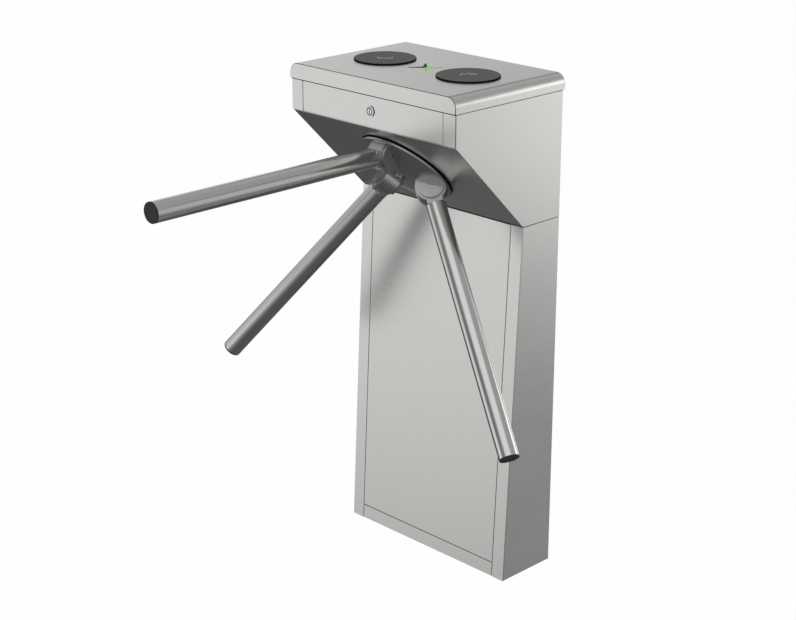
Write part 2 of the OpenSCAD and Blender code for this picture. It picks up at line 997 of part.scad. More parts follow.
module main_gear() {
    color(zinc) behind(gear_h + gear_t) difference() {
        union() {
            linear_extrude(gear_t) gear_outline(gear_teeth, -90);
            cylinder(r = gear_boss_r, h = gear_t + stack_gap / 2);
        }
        translate([0, 0, -over]) cylinder(r = shaft_r, h = gear_t * 2);
    }
}

module damper_pinion() {
    color(zinc) behind(gear_h + gear_t) translate([0, damper_y, 0]) difference() {
        linear_extrude(gear_t) gear_outline(pinion_teeth, 90 + 180 / pinion_teeth);
        translate([0, 0, -over]) cylinder(r = damper_shaft_r + fit_gap, h = gear_t + over * 2);
    }
}

module damper_body() {
    body_end = gear_h - stack_gap / 2;
    color(black) behind(gear_h + gear_t) translate([0, damper_y, 0]) {
        cylinder(r = damper_shaft_r, h = gear_h + gear_t - body_end + over);
        translate([0, 0, gear_h + gear_t - body_end])
            cylinder(r = damper_r, h = body_end - plate_back);
    }
}

module lock_wheel() {
    color(zinc) behind(wheel_h + wheel_t) difference() {
        union() {
            cylinder(r = wheel_r, h = wheel_t);
            cylinder(r = wheel_boss_r, h = wheel_t + stack_gap);
        }
        translate([0, 0, -over]) cylinder(r = shaft_r, h = wheel_t * 2);
        for (i = [0:notch_count - 1]) {
            rotate([0, 0, i * 360 / notch_count])
                block([wheel_r - notch_d, -notch_w / 2, -over],
                    [notch_d + over, notch_w, wheel_t + over * 2]);
        }
    }
}

module sensor_disc() {
    color(black) behind(disc_h + disc_t) difference() {
        union() {
            cylinder(r = disc_r, h = disc_t);
            cylinder(r = disc_boss_r, h = disc_t + disc_gap);
        }
        translate([0, 0, -over]) cylinder(r = shaft_r, h = disc_t + disc_gap + over * 2);
        for (i = [0:notch_count - 1]) {
            rotate([0, 0, i * 360 / notch_count])
                block([disc_r - disc_slot_l, -disc_t, -over],
                    [disc_slot_l + over, disc_t * 2, disc_t + over * 2]);
        }
    }
}

module shaft_nut() {
    color(zinc) behind(nut_h + nut_t) difference() {
        union() {
            cylinder(r = nut_r, h = nut_t, $fn = 6);
            translate([0, 0, nut_t]) cylinder(r = shaft_r + nut_gap, h = nut_gap);
        }
        translate([0, 0, -over]) cylinder(r = shaft_r, h = nut_t * 2);
    }
}

module position_sensor() {
    stand_y = wheel_r + sensor_gap;
    low = disc_h + disc_t + jaw_gap;
    color(black) behind(low + jaw_t) translate([-sensor_w / 2, 0, 0]) {
        block([0, stand_y, 0], [sensor_w, sensor_t, low + jaw_t - plate_back]);
        block([0, sensor_reach, 0], [sensor_w, stand_y - sensor_reach, jaw_t]);
    }
}

// Pawls and solenoids

module pawl_place(side) {
    behind(wheel_h + wheel_t) mirror([side < 0 ? 1 : 0, 0, 0])
        translate([pawl_x, pawl_y, 0]) children();
}

module pawl(side) {
    nose_tip = wheel_r + nose_gap;
    color(dark_steel) pawl_place(side) difference() {
        linear_extrude(wheel_t) {
            circle(r = pawl_boss_r);
            translate([-pawl_w / 2, -pawl_y - nose_drop - nose_w / 2])
                square([pawl_w, pawl_y + nose_drop + nose_w / 2]);
            translate([nose_tip - pawl_x, -pawl_y - nose_drop - nose_w / 2])
                square([pawl_x - nose_tip, nose_w]);
            translate([-pawl_w / 2, 0]) square([pawl_w, pawl_tail]);
            translate([0, pawl_tail]) circle(r = pawl_w / 2);
        }
        translate([0, 0, -over]) cylinder(r = post_r + fit_gap, h = wheel_t + over * 2);
        translate([0, pawl_tail, -over]) linear_extrude(wheel_t + over * 2) {
            for (y = [-1, 1]) translate([0, y * link_play]) circle(r = link_r + slip);
            square([(link_r + slip) * 2, link_play * 2], center = true);
        }
    }
}

module right_pawl() {
    pawl(1);
}

module left_pawl() {
    pawl(-1);
}

module pawl_posts() {
    color(zinc) for (side = [-1, 1]) {
        pawl_place(side) {
            translate([0, 0, -clip_t - slip]) cylinder(r = post_r, h = wheel_t + clip_t + slip * 2);
            translate([0, 0, wheel_t + slip])
                cylinder(r = shoulder_r, h = wheel_h - plate_back - slip);
            translate([0, 0, -clip_t - slip]) cylinder(r = shoulder_r, h = clip_t);
        }
    }
}

module plunger(side) {
    color(steel) pawl_place(side) translate([0, pawl_tail, wheel_t]) {
        translate([0, 0, -wheel_t]) cylinder(r = link_r, h = wheel_t + tab_t);
        block([-pawl_w / 2, -pawl_w / 2, tab_gap],
            [solenoid_x - pawl_x + pawl_w / 2 - tab_t * 2, pawl_w, tab_t]);
        translate([0, 0, tab_gap + tab_t / 2])
            rod_x(solenoid_x - pawl_x - tab_t * 2 - over, plunger_in + tab_t * 2, plunger_r);
    }
}

module right_plunger() {
    plunger(1);
}

module left_plunger() {
    plunger(-1);
}

module solenoids() {
    color(black) for (side = [-1, 1]) {
        pawl_place(side) translate([solenoid_x - pawl_x, pawl_tail, wheel_t + tab_gap + tab_t / 2])
            difference() {
                translate([0, -solenoid_w / 2, -solenoid_w / 2])
                    cube([solenoid_l, solenoid_w,
                        wheel_h - gear_h + solenoid_w / 2 - tab_gap - tab_t / 2]);
                rod_x(-over, solenoid_l + over * 2, plunger_r + fit_gap);
            }
    }
}

// Electrics

module control_board() {
    board_y = y_back - sheet_t - pcb_off;
    color(board_green) {
        block([-pcb_w / 2, board_y - board_t, pcb_z], [pcb_w, board_t, pcb_h]);
        block([-relay_x, board_y - board_t - relay_d, pcb_z + relay_z],
            [relay_w, relay_d, relay_w]);
        block([chip_x, board_y - board_t - chip_d, pcb_z + chip_z], [chip_w, chip_d, relay_w]);
        for (x = [-1, 1], z = [0, 1]) {
            translate([x * (pcb_w / 2 - standoff_r * 2), 0,
                pcb_z + standoff_r * 2 + z * (pcb_h - standoff_r * 4)])
                rod_y(board_y, pcb_off, standoff_r);
        }
    }
}

module power_supply() {
    color(zinc) block([-psu_w / 2, y_back - sheet_t - psu_d, psu_z], [psu_w, psu_d, psu_h]);
}

// The loom runs from the power supply up the back panel, past the control board, to the lid
module wiring_loom() {
    y0 = y_back - sheet_t - loom_bend_r - ease;
    z0 = psu_z + psu_h / 2;
    z1 = pcb_z + pcb_h / 2;
    color(black) {
        translate([0, y0, z0]) rod_x(psu_w / 2, loom_x - psu_w / 2, loom_r);
        translate([0, y0, z1]) rod_x(pcb_w / 2 - relay_w, loom_x - pcb_w / 2 + relay_w, loom_r);
        translate([loom_x, y0, z0]) cylinder(r = loom_r, h = loom_top - z0);
        for (z = [z0, z1, loom_top]) {
            translate([loom_x, y0, z]) sphere(r = loom_bend_r);
        }
    }
}

base_plate();
cable_grommet();
post_left_side();
post_right_side();
back_panel();
post_front_panel();
kick_strip();
uprights();
head_left_side();
head_right_side();
head_front_panel();
slant_panel();
hub_seal();
lid_buffers();
hinge_leaves();
lock_body();
mechanism_plate();
mechanism_brackets();
bearing_housing();
bearings();
housing_screws();
pawl_posts();
solenoids();
damper_body();
position_sensor();
control_board();
power_supply();
wiring_loom();
lid();
left_reader();
right_reader();
left_arrow_lens();
right_arrow_lens();
lid_boards();
lid_hinge_leaves();
lid_catch();
lock_barrel();
lock_cam();
hub();
hub_screw();
main_shaft();
main_gear();
lock_wheel();
sensor_disc();
shaft_nut();
arm_pins();
right_knuckle();
right_arm();
right_arm_cap();
left_knuckle();
left_arm();
left_arm_cap();
top_knuckle();
top_arm();
top_arm_cap();
right_pawl();
left_pawl();
right_plunger();
left_plunger();
damper_pinion();
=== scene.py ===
"""Looks of a waist-high tripod turnstile in brushed stainless steel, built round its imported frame.

Folded panels, the lid, the arm tubes and the turned pieces are surfaces worked out from the frame's boxes
and joints. Cast and machined pieces are merged copies of the frame's nodes with rounded edges.
Lengths are metres, in the frame's own axes: X along the wide front, -Y to the passage, +Z up.
"""
import json
import math
import bmesh
import bpy
import numpy as np
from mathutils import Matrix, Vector


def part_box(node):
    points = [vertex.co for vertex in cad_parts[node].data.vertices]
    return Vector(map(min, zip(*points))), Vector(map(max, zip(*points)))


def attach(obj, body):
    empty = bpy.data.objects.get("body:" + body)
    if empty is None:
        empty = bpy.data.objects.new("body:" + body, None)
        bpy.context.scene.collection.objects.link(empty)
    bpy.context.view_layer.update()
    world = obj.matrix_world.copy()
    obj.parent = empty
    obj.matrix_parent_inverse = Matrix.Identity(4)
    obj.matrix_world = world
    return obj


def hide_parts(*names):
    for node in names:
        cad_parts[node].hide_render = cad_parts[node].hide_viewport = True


MM = 0.001
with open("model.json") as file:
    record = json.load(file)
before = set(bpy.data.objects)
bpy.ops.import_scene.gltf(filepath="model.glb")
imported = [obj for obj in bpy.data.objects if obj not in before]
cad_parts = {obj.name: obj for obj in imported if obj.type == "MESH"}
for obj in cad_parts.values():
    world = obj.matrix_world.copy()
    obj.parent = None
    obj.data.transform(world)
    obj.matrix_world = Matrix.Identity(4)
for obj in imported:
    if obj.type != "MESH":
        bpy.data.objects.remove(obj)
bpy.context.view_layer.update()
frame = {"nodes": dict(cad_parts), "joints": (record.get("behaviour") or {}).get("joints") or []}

# Camera, as the photograph was taken

CAMERA_PLACE = (2.2865, -2.3971, 1.6891)
CAMERA_DOWN = 19.77
CAMERA_ROUND = 45.47
CAMERA_LENS = 79.82
SENSOR_WIDTH = 36


def set_camera():
    """A camera at the photograph's viewing angle."""
    data = bpy.data.cameras.new("camera")
    data.lens = CAMERA_LENS
    data.sensor_width = SENSOR_WIDTH
    camera = bpy.data.objects.new("camera", data)
    camera.location = CAMERA_PLACE
    camera.rotation_euler = (math.radians(90 - CAMERA_DOWN), 0, math.radians(CAMERA_ROUND))
    bpy.context.scene.collection.objects.link(camera)
    bpy.context.scene.camera = camera


set_camera()

# Places and sizes, read from the frame


def low(node):
    """Lowest corner of a node."""
    return np.array(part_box(node)[0])


def high(node):
    """Highest corner of a node."""
    return np.array(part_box(node)[1])


def joint(name):
    """The frame's entry for a joint."""
    return next(j for j in frame["joints"] if j["name"] == name)


def unit(vector):
    """A vector scaled to length one."""
    return np.asarray(vector, float) / np.linalg.norm(vector)


SHEET = 1.5 * MM
SEAM = 1 * MM
EDGE = 0.6 * MM
FOLD = 14 * MM

half_w = high("post_right_side")[0]
panel_half = high("post_front_panel")[0]
back_y = high("back_panel")[1]
foot_y = low("kick_strip")[1]
neck_z = high("post_right_side")[2]
head_y = low("head_front_panel")[1]
lip_z = low("head_front_panel")[2]
head_top = high("head_front_panel")[2]
lid_low = low("lid")
lid_high = high("lid")
lid_mid_y = (lid_low[1] + lid_high[1]) / 2

hub_centre = np.array(joint("hub_turn")["pos_m"], float)
hub_axis = unit(joint("hub_turn")["axis"])
slant_up = unit([0, hub_axis[2], -hub_axis[1]])
neck_y = 2 * hub_centre[1] - head_y
post_tilt = math.atan2(neck_y - foot_y, neck_z)
post_up = np.array([0, math.sin(post_tilt), math.cos(post_tilt)])
post_out = np.array([0, -math.cos(post_tilt), math.sin(post_tilt)])

X_AXIS = np.array([1.0, 0, 0])
Y_AXIS = np.array([0, 1.0, 0])
Z_AXIS = np.array([0, 0, 1.0])

top_pin = np.array(joint("arm_drop")["pos_m"], float)
apex = hub_centre + hub_axis * (top_pin[2] - hub_centre[2]) / hub_axis[2]
pin_reach = np.linalg.norm(top_pin - apex)
tube_r = (high("top_arm")[0] - low("top_arm")[0]) / 2
tube_start = top_pin[1] - high("top_arm")[1]
tube_end = top_pin[1] - low("top_arm")[1]
arm_end = top_pin[1] - low("top_arm_cap")[1]


def turned(vector, axis, degrees):
    """A vector turned about a unit axis: its part along the axis stays, the rest goes round a circle."""
    angle = math.radians(degrees)
    along = axis * np.dot(vector, axis)
    across = vector - along
    return along + across * math.cos(angle) + np.cross(axis, across) * math.sin(angle)


ARM_STEP = 120
top_way = unit(top_pin - apex)
side_ways = [turned(top_way, hub_axis, turn) for turn in (ARM_STEP, -ARM_STEP)]
side_ways.sort(key=lambda way: way[0])
arm_ways = {"top": top_way, "left": side_ways[0], "right": side_ways[1]}

# Shader building

MIDDLE = 0.5
SKIN = 0.1 * MM
SHADE_BLACK = (0.012, 0.012, 0.012)


class Wire:
    """An output socket of a node tree: arithmetic on it adds Math nodes."""

    def __init__(self, tree, socket):
        self.tree = tree
        self.socket = socket

    def maths(self, operation, *others):
        """The result of one Math operation on this wire and the others."""
        return self.tree.node("Math", {"operation": operation}, [self, *others])

    def __add__(self, other):
        return self.maths("ADD", other)

    def __sub__(self, other):
        return self.maths("SUBTRACT", other)

    def __mul__(self, other):
        return self.maths("MULTIPLY", other)

    def __truediv__(self, other):
        return self.maths("DIVIDE", other)

    def __pow__(self, other):
        return self.maths("POWER", other)

    def __radd__(self, other):
        return self.maths("ADD", other)

    def __rmul__(self, other):
        return self.maths("MULTIPLY", other)

    def __rsub__(self, other):
        return self.maths("MULTIPLY", -1) + other

    def largest(self, other):
        """The larger of two wires."""
        return self.maths("MAXIMUM", other)


class Tree:
    """A material's or the world's nodes."""

    def __init__(self, owner):
        owner.use_nodes = True
        self.nodes = owner.node_tree.nodes
        self.links = owner.node_tree.links
        self.nodes.clear()

    def node(self, kind, settings=None, inputs=None, output=0):
        """Adds a node: its settings are set first, then each input gets a value or a link."""
        made = self.nodes.new("ShaderNode" + kind)
        for key, value in (settings or {}).items():
            if key == "stops":
                self.set_stops(made.color_ramp, value)
            else:
                setattr(made, key, value)
        pairs = inputs.items() if isinstance(inputs, dict) else enumerate(inputs or [])
        for key, value in pairs:
            self.feed(made.inputs[key], value)
        return Wire(self, made.outputs[output]) if made.outputs else made

    def feed(self, socket, value):
        """Links a wire to a socket, or sets the socket's own value."""
        if isinstance(value, Wire):
            self.links.new(value.socket, socket)
        elif isinstance(value, (tuple, list)) and len(value) == 3 and socket.type == "RGBA":
            socket.default_value = (*value, 1)
        else:
            socket.default_value = value

    def set_stops(self, ramp, stops):
        """Gives a colour ramp its stops: places, each with a grey level or a colour."""
        while len(ramp.elements) < len(stops):
            ramp.elements.new(1)
        for element, (place, colour) in zip(ramp.elements, stops):
            element.position = place
            element.color = (*colour, 1) if isinstance(colour, tuple) else (colour, colour, colour, 1)

    def split(self, wire):
        """The three numbers of a vector."""
        made = self.node("SeparateXYZ", None, [wire])
        return [Wire(self, output) for output in made.socket.node.outputs]

    def place(self, scale=(1, 1, 1), turn=(0, 0, 0)):
        """Object coordinates, turned and scaled."""
        spot = self.node("TexCoord", None, None, "Object")
        return self.node("Mapping", None, {"Vector": spot, "Rotation": turn, "Scale": scale})

    def noise(self, vector, scale, detail=2, roughness=0.5):
        """Noise between zero and one."""
        return self.node("TexNoise", None, {"Vector": vector, "Scale": scale, "Detail": detail,
                                            "Roughness": roughness})

    def blend(self, factor, first, second):
        """A colour between two colours."""
        mix = self.nodes.new("ShaderNodeMix")
        mix.data_type = "RGBA"
        self.feed(mix.inputs[0], factor)
        self.feed(mix.inputs[6], first)
        self.feed(mix.inputs[7], second)
        return Wire(self, mix.outputs[2])

    def bump(self, height, strength, distance):
        """A normal bent by a height."""
        return self.node("Bump", None, {"Height": height, "Strength": strength, "Distance": distance})

    def surface(self, **inputs):
        """A Principled surface on the output."""
        named = {key.replace("_", " "): value for key, value in inputs.items()}
        shader = self.node("BsdfPrincipled", None, named)
        self.node("OutputMaterial", None, {"Surface": shader})


def tone(colour, level):
    """A colour times a level."""
    return tuple(channel * level for channel in colour)


def new_material(name):
    """A material and its tree."""
    material = bpy.data.materials.new(name)
    return material, Tree(material)


def ramp(tree, value, stops):
    """A level read from stops."""
    return tree.split(tree.node("ValToRGB", {"stops": stops}, [value]))[0]


def swing(noise, amount):
    """A noise's swing to both sides of its middle, times an amount."""
    return (noise - MIDDLE) * amount


def smooth_step(tree, value, start, end):
    """Zero before start, one after end, and a smooth change between."""
    return tree.node("MapRange", {"interpolation_type": "SMOOTHSTEP"},
                     {"Value": value, "From Min": start, "From Max": end})


# Finishes

STEEL = (0.62, 0.615, 0.60)
TUBE_GREY = (0.605, 0.60, 0.59)
HUB_GREY = (0.50, 0.50, 0.495)
ZINC = (0.56, 0.58, 0.60)


def brushed_steel(name, along, colour=STEEL, roughness=0.29):
    """Brushed stainless sheet: fine streaks along one axis, and slow changes across the sheet."""
    material, tree = new_material(name)
    fine = 900
    coarse = 230
    long = 3
    clouds = 5
    hair_share = 0.4
    streak = 0.3
    stretch = {"x": (long, fine, fine), "y": (fine, long, fine), "z": (fine, fine, long)}[along]
    wide = {"x": (long, coarse, coarse), "y": (coarse, long, coarse), "z": (coarse, coarse, long)}[along]
    hair = tree.noise(tree.place(stretch), 1, 3, 0.6)
    band = tree.noise(tree.place(wide), 1, 2, 0.5)
    cloud = tree.noise(tree.place(), clouds, 3, 0.5)
    grain = hair * hair_share + band * (1 - hair_share)
    shade = swing(grain, streak) + swing(cloud, 0.2) + MIDDLE
    base = tree.blend(shade, tone(colour, 0.78), tone(colour, 1.22))
    rough = roughness + swing(grain, 0.1) + swing(cloud, 0.06)
    tree.surface(Base_Color=base, Metallic=1.0, Roughness=rough, Normal=tree.bump(grain, 0.03, SKIN))
    return material


def tube_steel(name, way):
    """Polished tube: hair lines along the tube, turned to its own direction."""
    material, tree = new_material(name)
    turn = Vector(way).to_track_quat("Z", "Y").inverted().to_euler()
    fine = 1200
    long = 8
    clouds = 9
    polish = 0.2
    lines = tree.noise(tree.place((fine, fine, long), tuple(turn)), 1, 2, 0.5)
    cloud = tree.noise(tree.place(), clouds, 3, 0.5)
    shade = swing(lines, 0.3) + swing(cloud, 0.2) + MIDDLE
    base = tree.blend(shade, tone(TUBE_GREY, 0.9), tone(TUBE_GREY, 1.1))
    rough = polish + swing(lines, 0.1) + swing(cloud, 0.06)
    tree.surface(Base_Color=base, Metallic=1.0, Roughness=rough, Normal=tree.bump(lines, 0.06, SKIN))
    return material


def cast_metal(name, colour, roughness=0.29):
    """Cast metal, blasted and polished: a fine skin of small pits, with slow patches."""
    material, tree = new_material(name)
    pit_scale = 700
    patch_scale = 28
    patch_share = 0.6
    pit_depth = 0.12 * MM
    pits = tree.noise(tree.place(), pit_scale, 3, 0.6)
    patch = tree.noise(tree.place(), patch_scale, 3, 0.5)
    shade = patch * patch_share + pits * (1 - patch_share)
    base = tree.blend(shade, tone(colour, 0.85), tone(colour, 1.18))
    rough = roughness + swing(patch, 0.12) + swing(pits, 0.08)
    tree.surface(Base_Color=base, Metallic=1.0, Roughness=rough,
                 Normal=tree.bump(pits, 0.15, pit_depth))
    return material


def plated(name):
    """Zinc plate: small crystals of slightly different grey."""
    material, tree = new_material(name)
    crystal_scale = 320
    clouds = 40
    dull = 0.32
    crystals = tree.node("TexVoronoi", None, {"Vector": tree.place(), "Scale": crystal_scale}, "Color")
    flakes = tree.split(crystals)[0]
    cloud = tree.noise(tree.place(), clouds, 2)
    base = tree.blend((flakes + cloud) / 2, tone(ZINC, 0.82), tone(ZINC, 1.15))
    tree.surface(Base_Color=base, Metallic=1.0, Roughness=dull + swing(flakes, 0.12),
                 Normal=tree.bump(cloud, 0.1, SKIN))
    return material


def matt_coat(name, colour, roughness, grain_scale, depth=0.1, sheen=0.3):
    """Paint, moulded plastic or rubber: an even colour with a fine grain and slight patches."""
    material, tree = new_material(name)
    patch_scale = 14
    patch_share = 0.7
    grain = tree.noise(tree.place(), grain_scale, 2, 0.6)
    patch = tree.noise(tree.place(), patch_scale, 3, 0.5)
    shade = patch * patch_share + grain * (1 - patch_share)
    base = tree.blend(shade, tone(colour, 0.78), tone(colour, 1.25))
    tree.surface(Base_Color=base, Roughness=roughness + swing(patch, 0.12), Specular_IOR_Level=sheen,
                 Normal=tree.bump(grain, 0.35, depth * MM))
    return material


def reader_gloss(name):
    """Smooth dark cover of a reader, with faint wipe marks."""
    material, tree = new_material(name)
    across = 30
    along = 8
    wiped = (0, 0, 0.6)
    dull = 0.62
    wipe = tree.noise(tree.place((across, along, across), wiped), 1, 4, 0.6)
    base = tree.blend(wipe, (0.088, 0.088, 0.086), (0.104, 0.104, 0.101))
    tree.surface(Base_Color=base, Roughness=dull + swing(wipe, 0.2), Specular_IOR_Level=0.1,
                 Normal=tree.bump(wipe, 0.04, SKIN))
    return material


def lamp(name, colour, glow):
    """Lamp cover: small ribs of a diffuser, lit from below or dark."""
    material, tree = new_material(name)
    rib_scale = 160
    spot_scale = 90
    frost = 0.5
    ribs = tree.node("TexWave", {"wave_type": "BANDS", "bands_direction": "X"},
                     {"Vector": tree.place(), "Scale": rib_scale, "Distortion": 0.2}, "Fac")
    spots = tree.noise(tree.place(), spot_scale, 2)
    level = ribs * 0.25 + spots * 0.4 + 0.3
    base = tree.blend(level, tone(colour, 0.4), tone(colour, 0.8))
    light = tree.blend(level, tone(colour, 0.75), colour)
    tree.surface(Base_Color=base, Roughness=frost + swing(spots, 0.1), Emission_Color=light,
                 Emission_Strength=glow, Specular_IOR_Level=0.1, Normal=tree.bump(ribs, 0.1, SKIN))
    return material


def lock_front(name, middle, face_y):
    """Bright lock metal with painted shade: a black ring in the groove round its plug, and black on its
    flange's side wall.
    """
    material, tree = new_material(name)
    x, y, z = tree.split(tree.place())
    groove_in = 5.2 * MM
    groove_out = 7.9 * MM
    soft = 0.6 * MM
    face_t = 0.5 * MM
    rings = 900
    scratch = 0.05 * MM
    reach = ((x - middle[0]) * (x - middle[0]) + (z - middle[1]) * (z - middle[1])) ** 0.5
    # Painted shade: the groove's ring and the flange's side wall are turned black and not metallic.
    groove = (smooth_step(tree, reach, groove_in, groove_in + soft)
              * smooth_step(tree, reach, groove_out, groove_out - soft))
    wall = smooth_step(tree, y, face_y + face_t, face_y + face_t + soft / 2)
    dark = groove.largest(wall)
    turning = tree.noise(tree.node("CombineXYZ", None, [reach * rings, y * rings / 10, 0.0]), 1, 2)
    metal = tree.blend(turning, tone(ZINC, 0.95), tone(ZINC, 1.25))
    base = tree.blend(dark, metal, SHADE_BLACK)
    tree.surface(Base_Color=base, Metallic=1 - dark, Roughness=dark * 0.4 + turning * 0.1 + 0.2,
                 Normal=tree.bump(turning, 0.1, scratch))
    return material


def circuit_board(name):
    """Solder mask with copper traces under it, from bricks of two sizes."""
    material, tree = new_material(name)
    brick_scale = 110
    track_wide = 0.035
    upright = (math.pi / 2, 0, 0)
    weave_scale = 1500
    varnish = 0.35
    tracks = tree.node("TexBrick", {"offset": 0.37}, {
        "Vector": tree.place((1, 1, 1), upright), "Scale": brick_scale, "Mortar Size": track_wide,
        "Color1": (1, 1, 1), "Color2": (0.8, 0.8, 0.8), "Mortar": (0, 0, 0)}, "Fac")
    weave = tree.noise(tree.place(), weave_scale, 1)
    base = tree.blend(tracks, (0.02, 0.12, 0.06), (0.05, 0.26, 0.12))
    tree.surface(Base_Color=base, Roughness=varnish + swing(weave, 0.2), Coat_Weight=0.3,
                 Normal=tree.bump(tracks + weave * 0.2, 0.15, SKIN))
    return material


sheet_across = brushed_steel("brushed_sheet_across", "x")
sheet_side = brushed_steel("brushed_sheet_side", "y")
sheet_upright = brushed_steel("brushed_sheet_upright", "z")
sheet_slant = brushed_steel("brushed_sheet_slant", "x", STEEL, 0.25)
hub_skin = cast_metal("hub_casting", HUB_GREY)
# A lighter copy of the casting for the rounded edges: painted highlight along the hub's and knuckles' rims.
hub_edge_highlight = cast_metal("hub_casting_edge", tone(HUB_GREY, 1.15), 0.3)
zinc = plated("zinc_plate")
turned_steel = brushed_steel("turned_steel", "x", ZINC, 0.26)
primer = matt_coat("grey_primer", (0.14, 0.145, 0.15), 0.55, 700)
rubber = matt_coat("black_rubber", (0.02, 0.02, 0.02), 0.8, 1400, 0.1, 0.15)
# Near-black painted shade: the black strips behind seams, the band under the lid's edge, the plates behind
# the lid's end plates, the readers' walls and the hub seal's lip stand for the shadow in those gaps.
painted_shade_black = matt_coat("seam_shadow", (0.006, 0.006, 0.006), 0.9, 900, 0.05, 0.0)
plastic = matt_coat("black_plastic", (0.022, 0.022, 0.023), 0.55, 1100, 0.06, 0.2)
gloss_black = reader_gloss("reader_cover")
mark_ink = matt_coat("reader_marks", (0.80, 0.81, 0.82), 0.5, 500, 0.03)
lamp_green = lamp("lamp_lit", (0.10, 0.62, 0.03), 0.55)
lamp_dark = lamp("lamp_unlit", (0.006, 0.006, 0.008), 0.0)
board = circuit_board("circuit_board")
case_metal = brushed_steel("folded_case", "z", (0.5, 0.51, 0.52), 0.4)

# Surface building

NEAR_NOTHING = 1e-9
MERGE = 0.001 * MM
COPY_MERGE = 0.005 * MM
FLAT_ANGLE = math.radians(0.5)
SMOOTH_ANGLE = 35
SHARP_ANGLE = 30


class Shape:
    """Points and faces gathered for one piece."""

    def __init__(self):
        self.points = []
        self.faces = []
        self.paints = []
        self.count = 0

    def add(self, points, faces, paint=0):
        """Takes in points, and faces that index them."""
        self.points.append(np.asarray(points, float))
        self.faces.extend([[index + self.count for index in face] for face in faces])
        self.paints.extend([paint] * len(faces))
        self.count += len(points)

    def mirrored(self):
        """The same shape on the other side of the middle, its faces turned round again."""
        other = Shape()
        other.points = [points * [-1, 1, 1] for points in self.points]
        other.faces = [face[::-1] for face in self.faces]
        other.paints = list(self.paints)
        other.count = self.count
        return other

    def joined(self, other):
        """This shape with another one added."""
        self.add(np.concatenate(other.points), other.faces, 0)
        self.paints[-len(other.faces):] = other.paints
        return self


def ring_faces(rows, columns):
    """Quads between rings of points: each joins a point to the next one round, and to the next ring."""
    row = np.arange(rows - 1)[:, None] * columns
    here = np.arange(columns)[None, :]
    after = (here + 1) % columns
    quads = np.stack([row + here, row + columns + here, row + columns + after, row + after], axis=-1)
    return quads.reshape(-1, 4).tolist()


def rounded(corners, radii, steps=6):
    """An outline whose corners are arcs. An arc's middle lies on the corner's bisector, at its radius over
    the sine of half the corner's angle, and its points turn evenly from one side's normal to the other's."""
    corners = np.asarray(corners, float)
    out = []
    for here, corner in enumerate(corners):
        radius = radii[here]
        if radius <= 0:
            out.append(corner[None])
            continue
        back = unit(corners[here - 1] - corner)
        on = unit(corners[(here + 1) % len(corners)] - corner)
        half = math.acos(np.clip(np.dot(back, on), -1, 1)) / 2
        middle = corner + unit(back + on) * radius / math.sin(half)
        first = corner + back * radius / math.tan(half) - middle
        last = corner + on * radius / math.tan(half) - middle
        sweep = math.pi - 2 * half
        share = np.linspace(0, 1, steps + 1)[:, None]
        arc = (np.sin((1 - share) * sweep) * first + np.sin(share * sweep) * last) / math.sin(sweep)
        out.append(middle + arc)
    return np.concatenate(out)


def box_outline(x0, y0, x1, y1, radius=0.0):
    """A rectangle's outline, anticlockwise, with round corners if a radius is given."""
    return rounded([(x0, y0), (x1, y0), (x1, y1), (x0, y1)], [radius] * 4)


def round_edge(radius, depth, back=None, steps=3):
    """A plate's profile as pairs of inset and depth: a quarter circle from the face, then straight back.
    With back given, the profile folds round again: a flange of that depth and the sheet's thickness."""
    turn = np.linspace(0, math.pi / 2, steps + 1)
    arc = np.stack([radius * (1 - np.sin(turn)), radius * (1 - np.cos(turn))], axis=1)
    if back is None:
        return np.concatenate([arc, [[0, depth]]])
    return np.concatenate([arc, [[0, back], [depth, back], [depth, depth]]])


def plate(origin, across, up, outline, profile, paint=0, closed=True):
    """A plate or folded tray: its outline, moved in along its mitres and back along its normal, ring by ring
    as the profile says. The first ring is the face and the last ring is the back, unless the profile goes
    round on itself as a band's does."""
    shape = Shape()
    outline = np.asarray(outline, float)
    out = np.cross(across, up)
    side = np.roll(outline, -1, axis=0) - outline
    side /= np.linalg.norm(side, axis=1)[:, None]
    inward = np.stack([-side[:, 1], side[:, 0]], axis=1)
    before = np.roll(inward, 1, axis=0)
    mitre = (inward + before) / (1 + np.sum(inward * before, axis=1))[:, None]
    rings = outline[None] + profile[:, 0][:, None, None] * mitre[None]
    points = (origin + rings[..., :1] * across + rings[..., 1:] * up
              - profile[:, 1][:, None, None] * out)
    count = len(outline)
    faces = ring_faces(len(profile), count)
    if closed:
        faces.append(list(range(count)))
        faces.append(list(range(len(profile) * count - 1, (len(profile) - 1) * count - 1, -1)))
    shape.add(points.reshape(-1, 3), faces, paint)
    return shape


def holed_plate(origin, across, up, corner_low, corner_high, hole, radius, thick, edge, turns):
    """A rectangular plate round a hole: on each ray from the hole's middle, rings lie on the hole's circle
    and on the rectangle, which a ray meets at the nearer of its upright and its level side."""
    out = np.cross(across, up)
    hole = np.asarray(hole, float)
    corners = [(x, y) for x in (corner_low[0], corner_high[0]) for y in (corner_low[1], corner_high[1])]
    extra = [math.atan2(y - hole[1], x - hole[0]) % (2 * math.pi) for x, y in corners]
    angles = np.unique(np.concatenate([np.linspace(0, 2 * math.pi, turns, endpoint=False), extra]))
    ray = np.stack([np.cos(angles), np.sin(angles)], axis=1)

    def on_rim(inset):
        limit = np.where(ray > 0, np.array(corner_high) - inset, np.array(corner_low) + inset) - hole
        reach = np.min(np.abs(limit) / np.maximum(np.abs(ray), NEAR_NOTHING), axis=1)
        return hole + ray * reach[:, None]

    def on_hole(grow):
        return hole + ray * (radius + grow)

    flat = [on_rim(0), on_rim(0), on_rim(edge), on_hole(edge), on_hole(0), on_hole(0), on_rim(0)]
    depth = [thick, edge, 0, 0, edge, thick, thick]
    rings = [origin + ring[:, :1] * across + ring[:, 1:] * up - back * out
             for ring, back in zip(flat, depth)]
    shape = Shape()
    shape.add(np.concatenate(rings), [face[::-1] for face in ring_faces(len(rings), len(angles))])
    return shape


